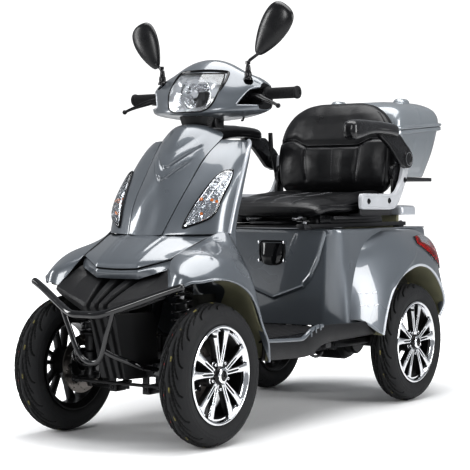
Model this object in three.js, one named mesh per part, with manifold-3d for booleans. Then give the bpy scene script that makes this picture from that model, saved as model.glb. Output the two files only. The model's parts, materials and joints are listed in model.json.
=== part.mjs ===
// A four-wheel mobility scooter, in millimetres, +Z up, +X to the rider's left, front towards -Y.
// Shapes are laid out about the point on the ground midway between the axles, and the finished
// group is moved so that its origin is the centre of the bottom of its bounding box.
import * as THREE from "three";
import { mergeVertices } from "three/addons/utils/BufferGeometryUtils.js";
import Module from "manifold-3d";

const wasm = await Module();
wasm.setup();

// ---- driving dimensions ----
const LENGTH_CENTRE_Y = 110.815;
const HALF_WHEELBASE = 583;
const FRONT_TRACK_X = 270;
const REAR_TRACK_X = 292;
const TYRE_RADIUS = 207;
const TYRE_HALF_WIDTH = 46;
const RIM_RADIUS = 140;
const BARREL_RADIUS = 125;
const WHEEL_SIDES = 24;
const SPOKES = 10;
const AXLE_RADIUS = 8;
const PANEL = 5;
const GAP = 0.6;
const FLOOR_TOP = 284;
const DECK_TOP = 606;
const RAKE = Math.atan2(251, 690);
const COLUMN_TOP = [0, -240, 1040];
const BAR_HEIGHT = 1035;
const BAR_Y = -186;
const BAR_RADIUS = 11;
const GRIP_END = 320;
const STRUT_X = 170;
const RAIL_X = 110;
const RAIL_BOTTOM = 192;
const RAIL_TOP = 228;
const ARM_PIVOT_X = 62;
const ARM_PIVOT_Z = 150;
const SWING_PIVOT_Y = 320;
const SWING_PIVOT_Z = 210;
const SEAT_HALF_WIDTH = 225;
const ARMREST_PIVOT = [600, 850];

// ---- materials ----
const finish = (color, roughness, metalness) =>
  new THREE.MeshStandardMaterial({ color, roughness, metalness });
const GREY_PAINT = finish(0x6e7378, 0.25, 0.5);
const PALE_PAINT = finish(0xa9adb1, 0.3, 0.4);
const BLACK_PLASTIC = finish(0x1c1d1f, 0.6, 0);
const GLOSS_BLACK = finish(0x0a0a0b, 0.15, 0.2);
const RUBBER = finish(0x18181a, 0.85, 0);
const CHROME = finish(0xd8dade, 0.1, 1);
const LEATHER = finish(0x151516, 0.5, 0);
const WHITE_PLASTIC = finish(0xe9eaec, 0.35, 0);
const CLEAR_LENS = finish(0xe8eef2, 0.05, 0);
const RED_LENS = finish(0xb01818, 0.1, 0);
const FRAME_STEEL = finish(0x202124, 0.5, 0.4);

const scooter = new THREE.Group();

// ---- placing pieces ----
const at = (x, y, z) => new THREE.Vector3(x, y, z);

function piece(name, geometry, material) {
  const mesh = new THREE.Mesh(geometry, material);
  mesh.name = name;
  scooter.add(mesh);
  return mesh;
}

// The left piece is at +X, and the right one is its mirror image.
function pair(name, geometry, material) {
  piece(`${name}_left`, geometry, material);
  piece(`${name}_right`, geometry, material).scale.x = -1;
}

// ---- solids ----
function asSolid(geometry) {
  const bare = geometry.clone();
  bare.deleteAttribute("normal");
  bare.deleteAttribute("uv");
  const merged = mergeVertices(bare, 1e-3);
  return new wasm.Manifold(
    new wasm.Mesh({
      numProp: 3,
      vertProperties: new Float32Array(merged.attributes.position.array),
      triVerts: new Uint32Array(merged.index.array),
    }),
  );
}

function asGeometry(solid) {
  const mesh = solid.getMesh();
  const geometry = new THREE.BufferGeometry();
  geometry.setAttribute("position", new THREE.BufferAttribute(mesh.vertProperties, 3));
  geometry.setIndex(new THREE.BufferAttribute(mesh.triVerts, 1));
  return geometry;
}

const join = (...parts) => asGeometry(parts.map(asSolid).reduce((a, b) => a.add(b)));
const cut = (base, ...tools) =>
  asGeometry(tools.map(asSolid).reduce((a, b) => a.subtract(b), asSolid(base)));
const common = (a, b) => asGeometry(asSolid(a).intersect(asSolid(b)));

function box([x0, x1], [y0, y1], [z0, z1]) {
  const geometry = new THREE.BoxGeometry(x1 - x0, y1 - y0, z1 - z0);
  return geometry.translate((x0 + x1) / 2, (y0 + y1) / 2, (z0 + z1) / 2);
}

// The same box on both sides of the centre plane.
const boxPair = ([x0, x1], ys, zs) => [box([x0, x1], ys, zs), box([-x1, -x0], ys, zs)];

// A rod from one point to another.
function rod(from, to, radius, sides = 12) {
  const [a, b] = [at(...from), at(...to)];
  const geometry = new THREE.CylinderGeometry(radius, radius, a.distanceTo(b), sides);
  const turn = new THREE.Quaternion().setFromUnitVectors(at(0, 1, 0), b.clone().sub(a).normalize());
  const middle = a.clone().add(b).multiplyScalar(0.5);
  return geometry.applyQuaternion(turn).translate(middle.x, middle.y, middle.z);
}

// A tube bent through points; a tension near 1 keeps the runs straight.
function bentTube(points, radius, steps, sides = 10, tension = 0.5) {
  const path = new THREE.CatmullRomCurve3(points.map((p) => at(...p)), false, "catmullrom", tension);
  const round = new THREE.Shape().absarc(0, 0, radius, 0, 2 * Math.PI);
  const options = { steps, curveSegments: Math.round(sides / 2), extrudePath: path, bevelEnabled: false };
  return new THREE.ExtrudeGeometry(round, options);
}

// A shape turned about an axis along X: the profile is [radius, x] pairs.
function turned(profile, sides = WHEEL_SIDES) {
  const points = profile.map(([r, x]) => new THREE.Vector2(r, x));
  return new THREE.LatheGeometry(points, sides).rotateZ(-Math.PI / 2);
}

// Triangles joined into a geometry that faces out, whatever the order of its corners.
function facingOut(corners, triangles) {
  const volume = triangles.reduce((sum, [a, b, c]) => {
    const normal = corners[b].clone().cross(corners[c]);
    return sum + corners[a].dot(normal);
  }, 0);
  const order = volume > 0 ? triangles : triangles.map(([a, b, c]) => [a, c, b]);
  const geometry = new THREE.BufferGeometry().setFromPoints(corners);
  geometry.setIndex(order.flat());
  return geometry;
}

// A closed sheet: a grid of points and the same grid moved by an offset.
function sheet(grid, offset) {
  const rows = grid.length;
  const columns = grid[0].length;
  const front = grid.flat().map((p) => at(...p));
  const back = front.map((p, i) => p.clone().add(offset(p, Math.floor(i / columns), i % columns)));
  const count = front.length;
  const triangles = [];
  for (let r = 0; r + 1 < rows; r++) {
    for (let c = 0; c + 1 < columns; c++) {
      const p = r * columns + c;
      const s = p + columns;
      const [q, t] = [p + 1, s + 1];
      triangles.push([p, q, t], [p, t, s]);
      triangles.push([p + count, t + count, q + count], [p + count, s + count, t + count]);
    }
  }
  const edge = (p, q) => triangles.push([p, p + count, q + count], [p, q + count, q]);
  for (let c = 0; c + 1 < columns; c++) {
    edge(c, c + 1);
    edge((rows - 1) * columns + c + 1, (rows - 1) * columns + c);
  }
  for (let r = 0; r + 1 < rows; r++) {
    edge((r + 1) * columns, r * columns);
    edge(r * columns + columns - 1, (r + 1) * columns + columns - 1);
  }
  return facingOut([...front, ...back], triangles);
}

const moved = (x, y, z) => () => at(x, y, z);

// A closed solid through sections, each a loop of the same number of points.
function loft(sections) {
  const n = sections[0].length;
  const corners = sections.flat().map((p) => at(...p));
  const triangles = [];
  for (let s = 0; s + 1 < sections.length; s++) {
    for (let i = 0; i < n; i++) {
      const [a, b] = [s * n + i, s * n + ((i + 1) % n)];
      triangles.push([a, b, b + n], [a, b + n, a + n]);
    }
  }
  const cap = (first, flip) => {
    const cap = corners.slice(first, first + n);
    const middle = cap.reduce((sum, p) => sum.add(p), at(0, 0, 0)).divideScalar(n);
    corners.push(middle);
    for (let i = 0; i < n; i++) {
      const [a, b] = [first + i, first + ((i + 1) % n)];
      triangles.push(flip ? [b, a, corners.length - 1] : [a, b, corners.length - 1]);
    }
  };
  cap(0, true);
  cap((sections.length - 1) * n, false);
  return facingOut(corners, triangles);
}

// Half rows from the centre plane outwards, completed with their mirror image.
const bothSides = (rows) =>
  rows.map((row) => [...row.slice(1).reverse().map(([x, y, z]) => [-x, y, z]), ...row]);

// A point of a grid of points, between its rows (u) and columns (v), both from 0 to 1.
function onGrid(grid, u, v) {
  const place = (t, n) => {
    const i = Math.min(Math.floor(t * n), n - 1);
    return [i, t * n - i];
  };
  const [r, fr] = place(u, grid.length - 1);
  const [c, fc] = place(v, grid[0].length - 1);
  const mix = (a, b, t) => a.map((value, k) => value + (b[k] - value) * t);
  return mix(mix(grid[r][c], grid[r][c + 1], fc), mix(grid[r + 1][c], grid[r + 1][c + 1], fc), fr);
}

// A part of a grid, between two values of u and two of v, resampled.
function patch(grid, [u0, u1], [v0, v1], rows, columns) {
  const steps = (a, b, n) => Array.from({ length: n + 1 }, (_, i) => a + ((b - a) * i) / n);
  return steps(u0, u1, rows).map((u) => steps(v0, v1, columns).map((v) => onGrid(grid, u, v)));
}

// A block that stands on a grid of points and goes `depth` times `through` into it and out of it.
function blockOn(grid, through, depth) {
  const lifted = grid.map((row) => row.map((p) => p.map((value, k) => value + through[k] * depth)));
  return sheet(lifted, moved(...through.map((value) => -2 * depth * value)));
}

// A lens let into a panel: the lens, and the panel with a window that clears it.
function lensInPanel(panel, lensGrid, through, margin) {
  const lens = blockOn(lensGrid, through, 0.5);
  const window = blockOn(lensGrid, through, 2);
  window.computeBoundingBox();
  const middle = window.boundingBox.getCenter(at(0, 0, 0));
  window.translate(-middle.x, -middle.y, -middle.z).scale(margin, margin, margin);
  window.translate(middle.x, middle.y, middle.z);
  return [lens, cut(panel, window)];
}

// ---- chassis ----
const columnPoint = (z) => [0, COLUMN_TOP[1] - (COLUMN_TOP[2] - z) * Math.tan(RAKE), z];

function chassisFrame() {
  const railXs = [RAIL_X - 18, RAIL_X + 18];
  const parts = [
    ...boxPair(railXs, [-625, 338], [RAIL_BOTTOM, RAIL_TOP]),
    ...boxPair(railXs, [302, 338], [200, 575]),
    ...boxPair(railXs, [302, 840], [560, 592]),
    ...boxPair(railXs, [804, 840], [430, 575]),
    ...boxPair(railXs, [-500, -470], [220, 490]),
    ...boxPair(railXs, [-600, -470], [478, 500]),
    ...boxPair(railXs, [625, 655], [440, 575]),
    box([-RAIL_X, RAIL_X], [-515, -485], [195, 225]),
    box([-RAIL_X, RAIL_X], [-165, -135], [195, 225]),
    box([-50, 50], [-200, -100], [186, 200]),
    box([-RAIL_X, RAIL_X], [305, 335], [195, 225]),
    box([-RAIL_X, RAIL_X], [465, 495], [562, 590]),
    box([-165, 165], [628, 652], [442, 466]),
    box([-RAIL_X, RAIL_X], [808, 838], [562, 590]),
    box([-RAIL_X, RAIL_X], [804, 840], [430, 460]),
    box([-30, 30], [812, 840], [335, 445]),
    box([-60, 60], [838, 846], [335, 415]),
    box([-80, 80], [-622, -544], [196, 226]),
    box([-RAIL_X, RAIL_X], [-622, -600], [196, 226]),
    box([-205, 205], [-600, -566], [478, 500]),
    box([-RAIL_X, RAIL_X], [-490, -470], [440, 470]),
    box([-20, 20], [-480, -440], [445, 465]),
    box([-RAIL_X, RAIL_X], [215, 480], [286, 296]),
    rod(columnPoint(400), columnPoint(700), 25, 14),
    ...boxPair([52, 72], [-618, -610], [138, 200]),
    ...boxPair([52, 72], [-556, -548], [138, 200]),
  ];
  for (const side of [-1, 1]) {
    parts.push(rod([side * ARM_PIVOT_X, -614, ARM_PIVOT_Z], [side * ARM_PIVOT_X, -552, ARM_PIVOT_Z], 6));
    parts.push(rod([side * STRUT_X, -HALF_WHEELBASE, 466], [side * STRUT_X, -HALF_WHEELBASE, 480], 34, 20));
    parts.push(rod([side * STRUT_X, -HALF_WHEELBASE, 330], [side * STRUT_X, -HALF_WHEELBASE, 470], 7));
    const pivotPin = [side * RAIL_X, SWING_PIVOT_Y, SWING_PIVOT_Z];
    parts.push(rod(pivotPin, [side * 160, SWING_PIVOT_Y, SWING_PIVOT_Z], 8));
  }
  return cut(join(...parts), rod(columnPoint(150), columnPoint(720), 18, 14));
}

function floorPan() {
  const deck = box([-296, 296], [-325, 172], [FLOOR_TOP - 10, FLOOR_TOP]);
  const outline = new THREE.Shape();
  outline.moveTo(-357, 226);
  outline.lineTo(-130, 226);
  outline.quadraticCurveTo(-60, 228, -30, 250);
  outline.lineTo(300, 250);
  outline.lineTo(300, 283);
  outline.lineTo(-30, 283);
  outline.lineTo(-346, 283);
  outline.closePath();
  const band = new THREE.ExtrudeGeometry(outline, { depth: 14, bevelEnabled: false, curveSegments: 4 });
  band.rotateX(Math.PI / 2).rotateZ(Math.PI / 2);
  const left = band.clone().translate(288, 0, 0);
  const right = band.clone().translate(-302, 0, 0);
  return join(deck, left, right);
}

// ---- front bodywork ----
const APRON_SEAM = [[62, -538, 603], [82, -487, 690], [91, -424, 770], [100, -364, 840], [114, -303, 892]];

const APRON_CENTRE = bothSides([
  [[0, -540, 602], [38, -541, 602], APRON_SEAM[0]],
  [[0, -498, 690], [46, -497, 690], APRON_SEAM[1]],
  [[0, -456, 772], [52, -444, 771], APRON_SEAM[2]],
  [[0, -412, 848], [58, -392, 844], APRON_SEAM[3]],
  [[0, -368, 905], [62, -345, 901], APRON_SEAM[4]],
  [[0, -330, 936], [50, -318, 934], [96, -290, 922]],
]);

const APRON_SIDE = [
  [[64, -538, 603], [140, -507, 605], [200, -455, 606], [216, -405, 607]],
  [[84, -487, 690], [148, -464, 690], [203, -425, 690], [214, -375, 690]],
  [[93, -424, 770], [150, -406, 770], [195, -372, 770], [209, -335, 770]],
  [[102, -364, 840], [150, -346, 840], [185, -320, 840], [200, -291, 840]],
  [[116, -303, 892], [146, -290, 891], [172, -273, 890], [188, -255, 888]],
];

function legShield() {
  const rows = [
    [[0, -330, 291], [190, -332, 291], [236, -345, 291]],
    [[0, -345, 420], [185, -345, 420], [226, -352, 420]],
    [[0, -352, 520], [185, -352, 520], [216, -360, 510]],
    [[0, -350, 606], [185, -352, 606], [214, -398, 606]],
    [[0, -325, 690], [184, -330, 690], [212, -369, 690]],
    [[0, -292, 770], [180, -298, 770], [207, -329, 770]],
    [[0, -262, 840], [172, -264, 840], [198, -285, 840]],
    [[0, -236, 889], [160, -238, 889], [186, -249, 886]],
  ];
  return sheet(bothSides(rows), (p) => at(p.x > 180 ? -4 : p.x < -180 ? 4 : 0, PANEL, 0));
}

function hood() {
  const rows = [
    [[0, -667, 478], [78, -668, 478], [158, -638, 508]],
    [[0, -675, 508], [76, -675, 511], [162, -621, 540]],
    [[0, -610, 566], [84, -602, 566], [178, -536, 572]],
    [[0, -560, 592], [92, -548, 592], [190, -480, 594]],
    [[0, -546, 600], [70, -543, 600], [198, -459, 602]],
  ];
  return sheet(bothSides(rows), moved(0, 7, -PANEL));
}

function frontFender() {
  const stations = [
    [[206, -694, 458], [222, -698, 462], [238, -697, 464], [250, -692, 462]],
    [[166, -622, 540], [214, -650, 524], [262, -656, 503], [290, -648, 474]],
    [[182, -536, 574], [238, -566, 556], [290, -574, 528], [318, -578, 478]],
    [[200, -466, 603], [246, -478, 566], [298, -476, 520], [322, -453, 430]],
    [[222, -414, 600], [256, -412, 548], [298, -404, 460], [321, -390, 338]],
    [[234, -374, 508], [262, -372, 440], [292, -366, 350], [318, -357, 286]],
  ];
  return sheet(stations, moved(-3, 3, -PANEL));
}

function noseSnout() {
  const rows = [
    [[0, -664, 470], [51, -664, 470], [140, -634, 486], [176, -640, 506]],
    [[0, -712, 442], [51, -712, 442], [134, -684, 462], [190, -674, 476]],
    [[0, -757, 408], [51, -755, 410], [128, -726, 430], [202, -702, 450]],
  ];
  return sheet(bothSides(rows), moved(0, 8, -26));
}

function noseSkirt() {
  const ring = (z, front, side, back, half) => [
    [-half - 42, back, z], [-half - 42, side, z], [-half, front, z], [0, front - 3, z],
    [half, front, z], [half + 42, side, z], [half + 42, back, z],
  ];
  const grid = [ring(376, -743, -650, -632, 48), ring(188, -691, -640, -628, 46)];
  return sheet(grid, (p) => at(-Math.sign(p.x) * 4, 6, 0));
}

function bumperBar() {
  const upper = [[-271, -724, 463], [-160, -768, 423], [-52, -815, 383], [0, -816, 381]];
  const right = upper.slice(0, -1).reverse().map(([x, y, z]) => [-x, y, z]);
  const main = bentTube([...upper, ...right], 11, 18, 8, 0.3);
  const leg = [[-92, -804, 388], [-66, -798, 330], [-38, -790, 270], [0, -786, 244]];
  const loopRight = leg.slice(0, -1).reverse().map(([x, y, z]) => [-x, y, z]);
  const loop = bentTube([...leg, ...loopRight], 8, 12, 8);
  const arms = [-1, 1].map((side) =>
    bentTube([
      [side * 44, -793, 285], [side * 96, -748, 250], [side * 114, -690, 226], [side * 114, -627, 216],
    ], 8, 6, 8),
  );
  return join(main, loop, ...arms);
}

// ---- rear bodywork ----
function seatBox() {
  const front = (inset, bottom, top) => {
    const ring = (z, half, face, chamfer, side) => [
      [-half + inset, face + inset, z], [half - inset, face + inset, z],
      [side - inset, chamfer + inset, z], [side - inset, 341 + inset, z],
      [-side + inset, 341 + inset, z], [-side + inset, chamfer + inset, z],
    ];
    return loft([ring(bottom, 188, 176, 218, 264), ring(top, 214, 164, 204, 252)]);
  };
  const rear = (inset, bottom, top) => {
    const ring = (z, half, back) => [
      [-half + inset, 300, z], [half - inset, 300, z], [half - inset, back - 40, z],
      [half - 40, back - inset, z], [-half + 40, back - inset, z], [-half + inset, back - 40, z],
    ];
    return loft([ring(bottom, 228, 852), ring(top, 226, 862)]);
  };
  const outside = join(front(0, 286, DECK_TOP), rear(0, 430, DECK_TOP));
  const inside = join(front(PANEL, 280, DECK_TOP - PANEL), rear(PANEL, 420, DECK_TOP - PANEL));
  const rearShelf = [box([-150, 150], [832, 940], [648, 682]), box([-120, 120], [834, 856], [600, 650])];
  return join(cut(outside, inside), ...rearShelf);
}

const FENDER_REAR = [
  [[268, 343, 288], [300, 340, 287], [335, 338, 286]],
  [[266, 346, 400], [304, 356, 392], [335, 380, 367]],
  [[250, 380, 520], [306, 412, 480], [336, 452, 438]],
  [[232, 480, 588], [302, 500, 540], [337, 530, 469]],
  [[231, 600, 600], [300, 610, 560], [337, 610, 473]],
  [[231, 720, 597], [296, 726, 545], [336, 690, 450]],
  [[231, 812, 560], [286, 816, 490], [334, 760, 406]],
  [[231, 850, 470], [282, 838, 405], [330, 812, 341]],
  [[236, 846, 400], [280, 820, 350], [326, 779, 286]],
];

function rearFender() {
  return sheet(FENDER_REAR, moved(-3, -2, -PANEL));
}

const tailLightGrid = patch(FENDER_REAR, [0.62, 0.83], [0.06, 0.8], 3, 2);

// ---- wheels ----
const inWheel = (geometry, trackX, y) => geometry.translate(trackX, y, TYRE_RADIUS);

// The tread stands on the flat between two of its corners.
function tyre() {
  const half = TYRE_HALF_WIDTH;
  const halfStep = Math.PI / WHEEL_SIDES;
  const tread = TYRE_RADIUS / Math.cos(halfStep);
  const profile = [
    [BARREL_RADIUS + 1.5, -33], [RIM_RADIUS + 3, -33], [172, -half], [191, -40], [tread - 5, -25], [tread, 0],
    [tread - 5, 25], [191, 40], [172, half], [RIM_RADIUS + 3, 33],
    [BARREL_RADIUS + 1.5, 33], [BARREL_RADIUS + 1.5, -33],
  ];
  return turned(profile).rotateX(halfStep);
}

function rim() {
  const barrel = turned([
    [117, -40], [RIM_RADIUS, -40], [RIM_RADIUS, -34], [BARREL_RADIUS, -34], [BARREL_RADIUS, 34],
    [RIM_RADIUS, 34], [RIM_RADIUS, 40], [117, 40], [117, -40],
  ]).rotateX(Math.PI / WHEEL_SIDES);
  const spoke = (i) =>
    box([14, 28], [-7, 7], [20, 120]).rotateX(((i + (i % 2 ? 0.12 : -0.12)) * 2 * Math.PI) / SPOKES);
  const hub = turned([[0, -30], [30, -30], [30, 34], [0, 34]], 16);
  const bore = turned([[0, -50], [AXLE_RADIUS + 1, -50], [AXLE_RADIUS + 1, 28], [0, 28]], 12);
  const spokes = Array.from({ length: SPOKES }, (_, i) => spoke(i));
  return cut(join(barrel, hub, ...spokes), bore);
}

// ---- front suspension and steering linkage ----
const strutAxis = (z) => [STRUT_X, -HALF_WHEELBASE, z];

function strut() {
  return cut(rod(strutAxis(252), strutAxis(420), 20, 20), rod(strutAxis(290), strutAxis(430), 9, 16));
}

function knuckle() {
  const upright = rod(strutAxis(165), strutAxis(249), 22, 20);
  const stubEnd = [FRONT_TRACK_X + 24, -HALF_WHEELBASE, TYRE_RADIUS];
  const stub = rod([STRUT_X, -HALF_WHEELBASE, TYRE_RADIUS], stubEnd, AXLE_RADIUS);
  const arm = box([STRUT_X - 7, STRUT_X + 7], [-HALF_WHEELBASE - 70, -HALF_WHEELBASE], [166, 178]);
  const tip = rod([STRUT_X, -HALF_WHEELBASE - 70, 166], [STRUT_X, -HALF_WHEELBASE - 70, 178], 9);
  const caliperY = [-HALF_WHEELBASE + 34, -HALF_WHEELBASE + 66];
  const caliper = box([196, 222], caliperY, [TYRE_RADIUS - 10, TYRE_RADIUS + 40]);
  const bracketY = [-HALF_WHEELBASE, -HALF_WHEELBASE + 44];
  const bracket = box([STRUT_X, 204], bracketY, [TYRE_RADIUS + 10, TYRE_RADIUS + 26]);
  return join(upright, stub, arm, tip, caliper, bracket);
}

function lowerArm() {
  const sleeve = rod([ARM_PIVOT_X, -605, ARM_PIVOT_Z], [ARM_PIVOT_X, -561, ARM_PIVOT_Z], 14, 16);
  const plate = box([ARM_PIVOT_X, STRUT_X + 12], [-600, -566], [ARM_PIVOT_Z - 7, ARM_PIVOT_Z + 7]);
  const bore = rod([ARM_PIVOT_X, -615, ARM_PIVOT_Z], [ARM_PIVOT_X, -551, ARM_PIVOT_Z], 7.5);
  return cut(join(sleeve, plate), bore);
}

function tieRod() {
  const y = -HALF_WHEELBASE - 86;
  const bar = rod([-STRUT_X - 8, y, 172], [STRUT_X + 8, y, 172], 6);
  const tab = box([-8, 8], [y, y + 60], [168, 176]);
  return join(bar, tab);
}

function steeringColumn() {
  const shaft = rod(columnPoint(184), columnPoint(BAR_HEIGHT), 15, 16);
  const bar = rod([-312, BAR_Y, BAR_HEIGHT], [312, BAR_Y, BAR_HEIGHT], BAR_RADIUS, 14);
  const clamp = box([-22, 22], [-262, BAR_Y + 12], [BAR_HEIGHT - 20, BAR_HEIGHT + 8]);
  const pitmanRoot = columnPoint(190)[1];
  const pitman = box([-9, 9], [pitmanRoot - 60, pitmanRoot + 4], [186, 194]);
  return join(shaft, bar, clamp, pitman);
}

// ---- handlebar ----
function nacelleSections(inset) {
  const stations = [
    [0, [
      [-318, 972], [-320, 1000], [-303, 1050], [-264, 1106], [-215, 1146],
      [-160, 1136], [-118, 1086], [-108, 1020], [-140, 966], [-230, 956],
    ]],
    [70, [
      [-312, 973], [-313, 1000], [-297, 1046], [-260, 1096], [-215, 1132],
      [-163, 1124], [-122, 1080], [-112, 1020], [-142, 968], [-228, 959],
    ]],
    [130, [
      [-290, 976], [-292, 1002], [-276, 1040], [-247, 1076], [-214, 1103],
      [-172, 1098], [-136, 1068], [-126, 1020], [-147, 974], [-220, 966],
    ]],
    [204, [
      [-228, 984], [-236, 1004], [-234, 1032], [-226, 1054], [-208, 1070],
      [-178, 1070], [-158, 1058], [-150, 1024], [-157, 992], [-190, 981],
    ]],
  ];
  const all = [...stations.slice(1).reverse().map(([x, loop]) => [-x, loop]), ...stations];
  return all.map(([x, loop]) => {
    const centre = [0, 1].map((k) => loop.reduce((sum, p) => sum + p[k], 0) / loop.length);
    return loop.map((p) => {
      const [dy, dz] = [p[0] - centre[0], p[1] - centre[1]];
      const scale = 1 - inset / Math.hypot(dy, dz);
      const reach = inset > 0 && Math.abs(x) > 200 ? x + Math.sign(x) * 3 : x;
      return [reach, centre[0] + dy * scale, centre[1] + dz * scale];
    });
  });
}

function nacelle() {
  const neckHole = rod(columnPoint(900), columnPoint(1000), 34, 16);
  return cut(loft(nacelleSections(0)), loft(nacelleSections(6)), neckHole);
}

const HEADLIGHT = bothSides([
  [[0, -330, 984], [42, -328, 982], [66, -322, 984]],
  [[0, -318, 1030], [50, -314, 1028], [90, -302, 1028]],
  [[0, -296, 1072], [48, -291, 1072], [92, -278, 1062]],
  [[0, -270, 1104], [40, -268, 1102], [74, -262, 1096]],
]);

const SPLIT_Y = -166;
const frontHalf = () => box([-400, 400], [-400, SPLIT_Y - GAP / 2], [900, 1200]);
const rearHalf = () => box([-400, 400], [SPLIT_Y + GAP / 2, 0], [900, 1200]);

function grip() {
  const inside = BAR_RADIUS + GAP;
  return turned(
    [
      [0, GRIP_END - 6], [inside, GRIP_END - 6], [inside, 210],
      [16, 212], [17, GRIP_END - 4], [14, GRIP_END], [0, GRIP_END],
    ],
    16,
  ).translate(0, BAR_Y, BAR_HEIGHT);
}

function brakeLever() {
  const path = [[206, -216, 1024], [228, -240, 1016], [262, -256, 1003], [294, -265, 992]];
  const blade = bentTube(path, 5, 5, 6);
  const ball = new THREE.SphereGeometry(8, 8, 6).translate(296, -265, 991);
  const eye = rod([207, -214, 1014], [207, -214, 1034], 8);
  return join(blade, ball, eye);
}

function mirror() {
  const path = [[166, -234, 1096], [168, -238, 1120], [178, -232, 1156], [212, -216, 1206]];
  const stem = bentTube(path, 5, 7, 8);
  const shell = new THREE.SphereGeometry(1, 14, 9).scale(52, 20, 88);
  shell.rotateY(THREE.MathUtils.degToRad(32)).translate(242, -216, 1256);
  const base = rod([166, -234, 1092], [166, -234, 1104], 9);
  return join(stem, shell, base);
}

// ---- seat ----
function seatRails() {
  const rails = boxPair([134, 166], [100, 820], [612, 626]);
  const cross = [[130, 160], [640, 670], [790, 815]].map((ys) => box([-150, 150], ys, [612, 620]));
  const feet = [[110, 150], [770, 810]].flatMap((ys) => boxPair([138, 162], ys, [DECK_TOP + 0.4, 614]));
  return join(...rails, ...cross, ...feet);
}

function seatFrame() {
  const plate = box([-200, 200], [225, 560], [636, 654]);
  const sliders = boxPair([136, 164], [180, 640], [627, 640]);
  const sides = boxPair([200, 252], [330, 540], [690, 704]);
  const risers = boxPair([200, 214], [330, 540], [640, 704]);
  const joiners = boxPair([190, 210], [330, 540], [636, 654]);
  const posts = [-1, 1].map((side) =>
    bentTube([
      [side * 150, 540, 645], [side * 150, 640, 660], [side * 150, 655, 740], [side * 150, 672, 800],
    ], 10, 7, 8),
  );
  const rack = boxPair([112, 162], [660, 1040], [776, 790]);
  const rackCross = [box([-150, 150], [700, 730], [776, 790]), box([-150, 150], [1010, 1040], [776, 790])];
  const backPlate = [box([-160, 160], [664, 674], [776, 900])];
  const lower = [...sliders, ...sides, ...risers, ...joiners];
  return join(plate, ...lower, ...posts, ...rack, ...rackCross, ...backPlate);
}

function seatCushion() {
  const section = (y, half, bottom, top) => [
    [-half + 20, y, bottom], [half - 20, y, bottom], [half, y, (bottom + top) / 2], [half - 24, y, top],
    [0, y, top + 3], [-half + 24, y, top], [-half, y, (bottom + top) / 2],
  ];
  return loft([
    section(88, SEAT_HALF_WIDTH - 40, 668, 690),
    section(112, SEAT_HALF_WIDTH - 10, 658, 704),
    section(240, SEAT_HALF_WIDTH - 2, 656, 712),
    section(320, 196, 656, 716),
    section(540, 196, 656, 728),
    section(560, 180, 664, 722),
  ]);
}

function backrest() {
  const section = (z, half, front, back) => [
    [-half + 26, front, z], [half - 26, front, z], [half, (front + back) / 2, z],
    [half - 30, back, z], [-half + 30, back, z], [-half, (front + back) / 2, z],
  ];
  return loft([
    section(750, 190, 566, 612),
    section(790, 226, 550, 624),
    section(880, 236, 556, 634),
    section(960, 226, 574, 642),
    section(1022, 186, 594, 648),
    section(1056, 118, 612, 644),
  ]);
}

function sideBracket() {
  const outline = new THREE.Shape();
  outline.moveTo(301, 684);
  outline.quadraticCurveTo(302, 675, 314, 674);
  outline.lineTo(540, 672);
  outline.quadraticCurveTo(578, 674, 596, 706);
  outline.lineTo(640, 790);
  outline.lineTo(648, 876);
  outline.lineTo(604, 876);
  outline.lineTo(602, 806);
  outline.quadraticCurveTo(572, 728, 520, 726);
  outline.lineTo(314, 727);
  outline.quadraticCurveTo(302, 727, 301, 716);
  outline.closePath();
  const plate = new THREE.ExtrudeGeometry(outline, { depth: 14, bevelEnabled: false, curveSegments: 5 });
  return plate.rotateX(Math.PI / 2).rotateZ(Math.PI / 2).translate(254, 0, 0);
}

function armrest() {
  const [y, z] = ARMREST_PIVOT;
  const disc = rod([269, y, z], [288, y, z], 30, 20);
  const section = (yy, zz, half) => [
    [272, yy, zz - half], [290, yy, zz - half], [290, yy, zz + half], [272, yy, zz + half],
  ];
  const rise = [section(536, 900, 22), section(440, 930, 8), section(400, 932, 6)];
  const arm = loft([section(y + 4, z, 24), ...rise]);
  const padRing = (yy, bottom, top, inner, outer) => [
    [inner + 8, yy, bottom], [outer - 8, yy, bottom], [outer, yy, (bottom + top) / 2], [outer - 12, yy, top],
    [inner + 12, yy, top], [inner, yy, (bottom + top) / 2],
  ];
  const pad = loft([
    padRing(168, 930, 956, 266, 306), padRing(190, 922, 966, 258, 314), padRing(330, 926, 970, 257, 315),
    padRing(500, 926, 968, 258, 313), padRing(545, 930, 954, 266, 306),
  ]);
  return join(disc, arm, pad);
}

function topBox() {
  const ring = (zFront, zBack, half, front, back, inset) => [
    [-half + 40, front + inset, zFront], [half - 40, front + inset, zFront],
    [half - inset, front + 40, zFront], [half - inset, back - 60, zBack],
    [half - 60, back - inset, zBack], [-half + 60, back - inset, zBack],
    [-half + inset, back - 60, zBack], [-half + inset, front + 40, zFront],
  ];
  const outside = [
    ring(791, 792, 170, 770, 990, 0), ring(944, 976, 212, 668, 1034, 0),
    ring(945, 977, 220, 656, 1050, 0), ring(955, 988, 220, 656, 1050, 0),
  ];
  const inside = [
    ring(796, 797, 170, 770, 990, PANEL), ring(940, 972, 212, 668, 1034, PANEL),
    ring(965, 998, 216, 662, 1042, PANEL),
  ];
  return cut(loft(outside), loft(inside));
}

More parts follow.
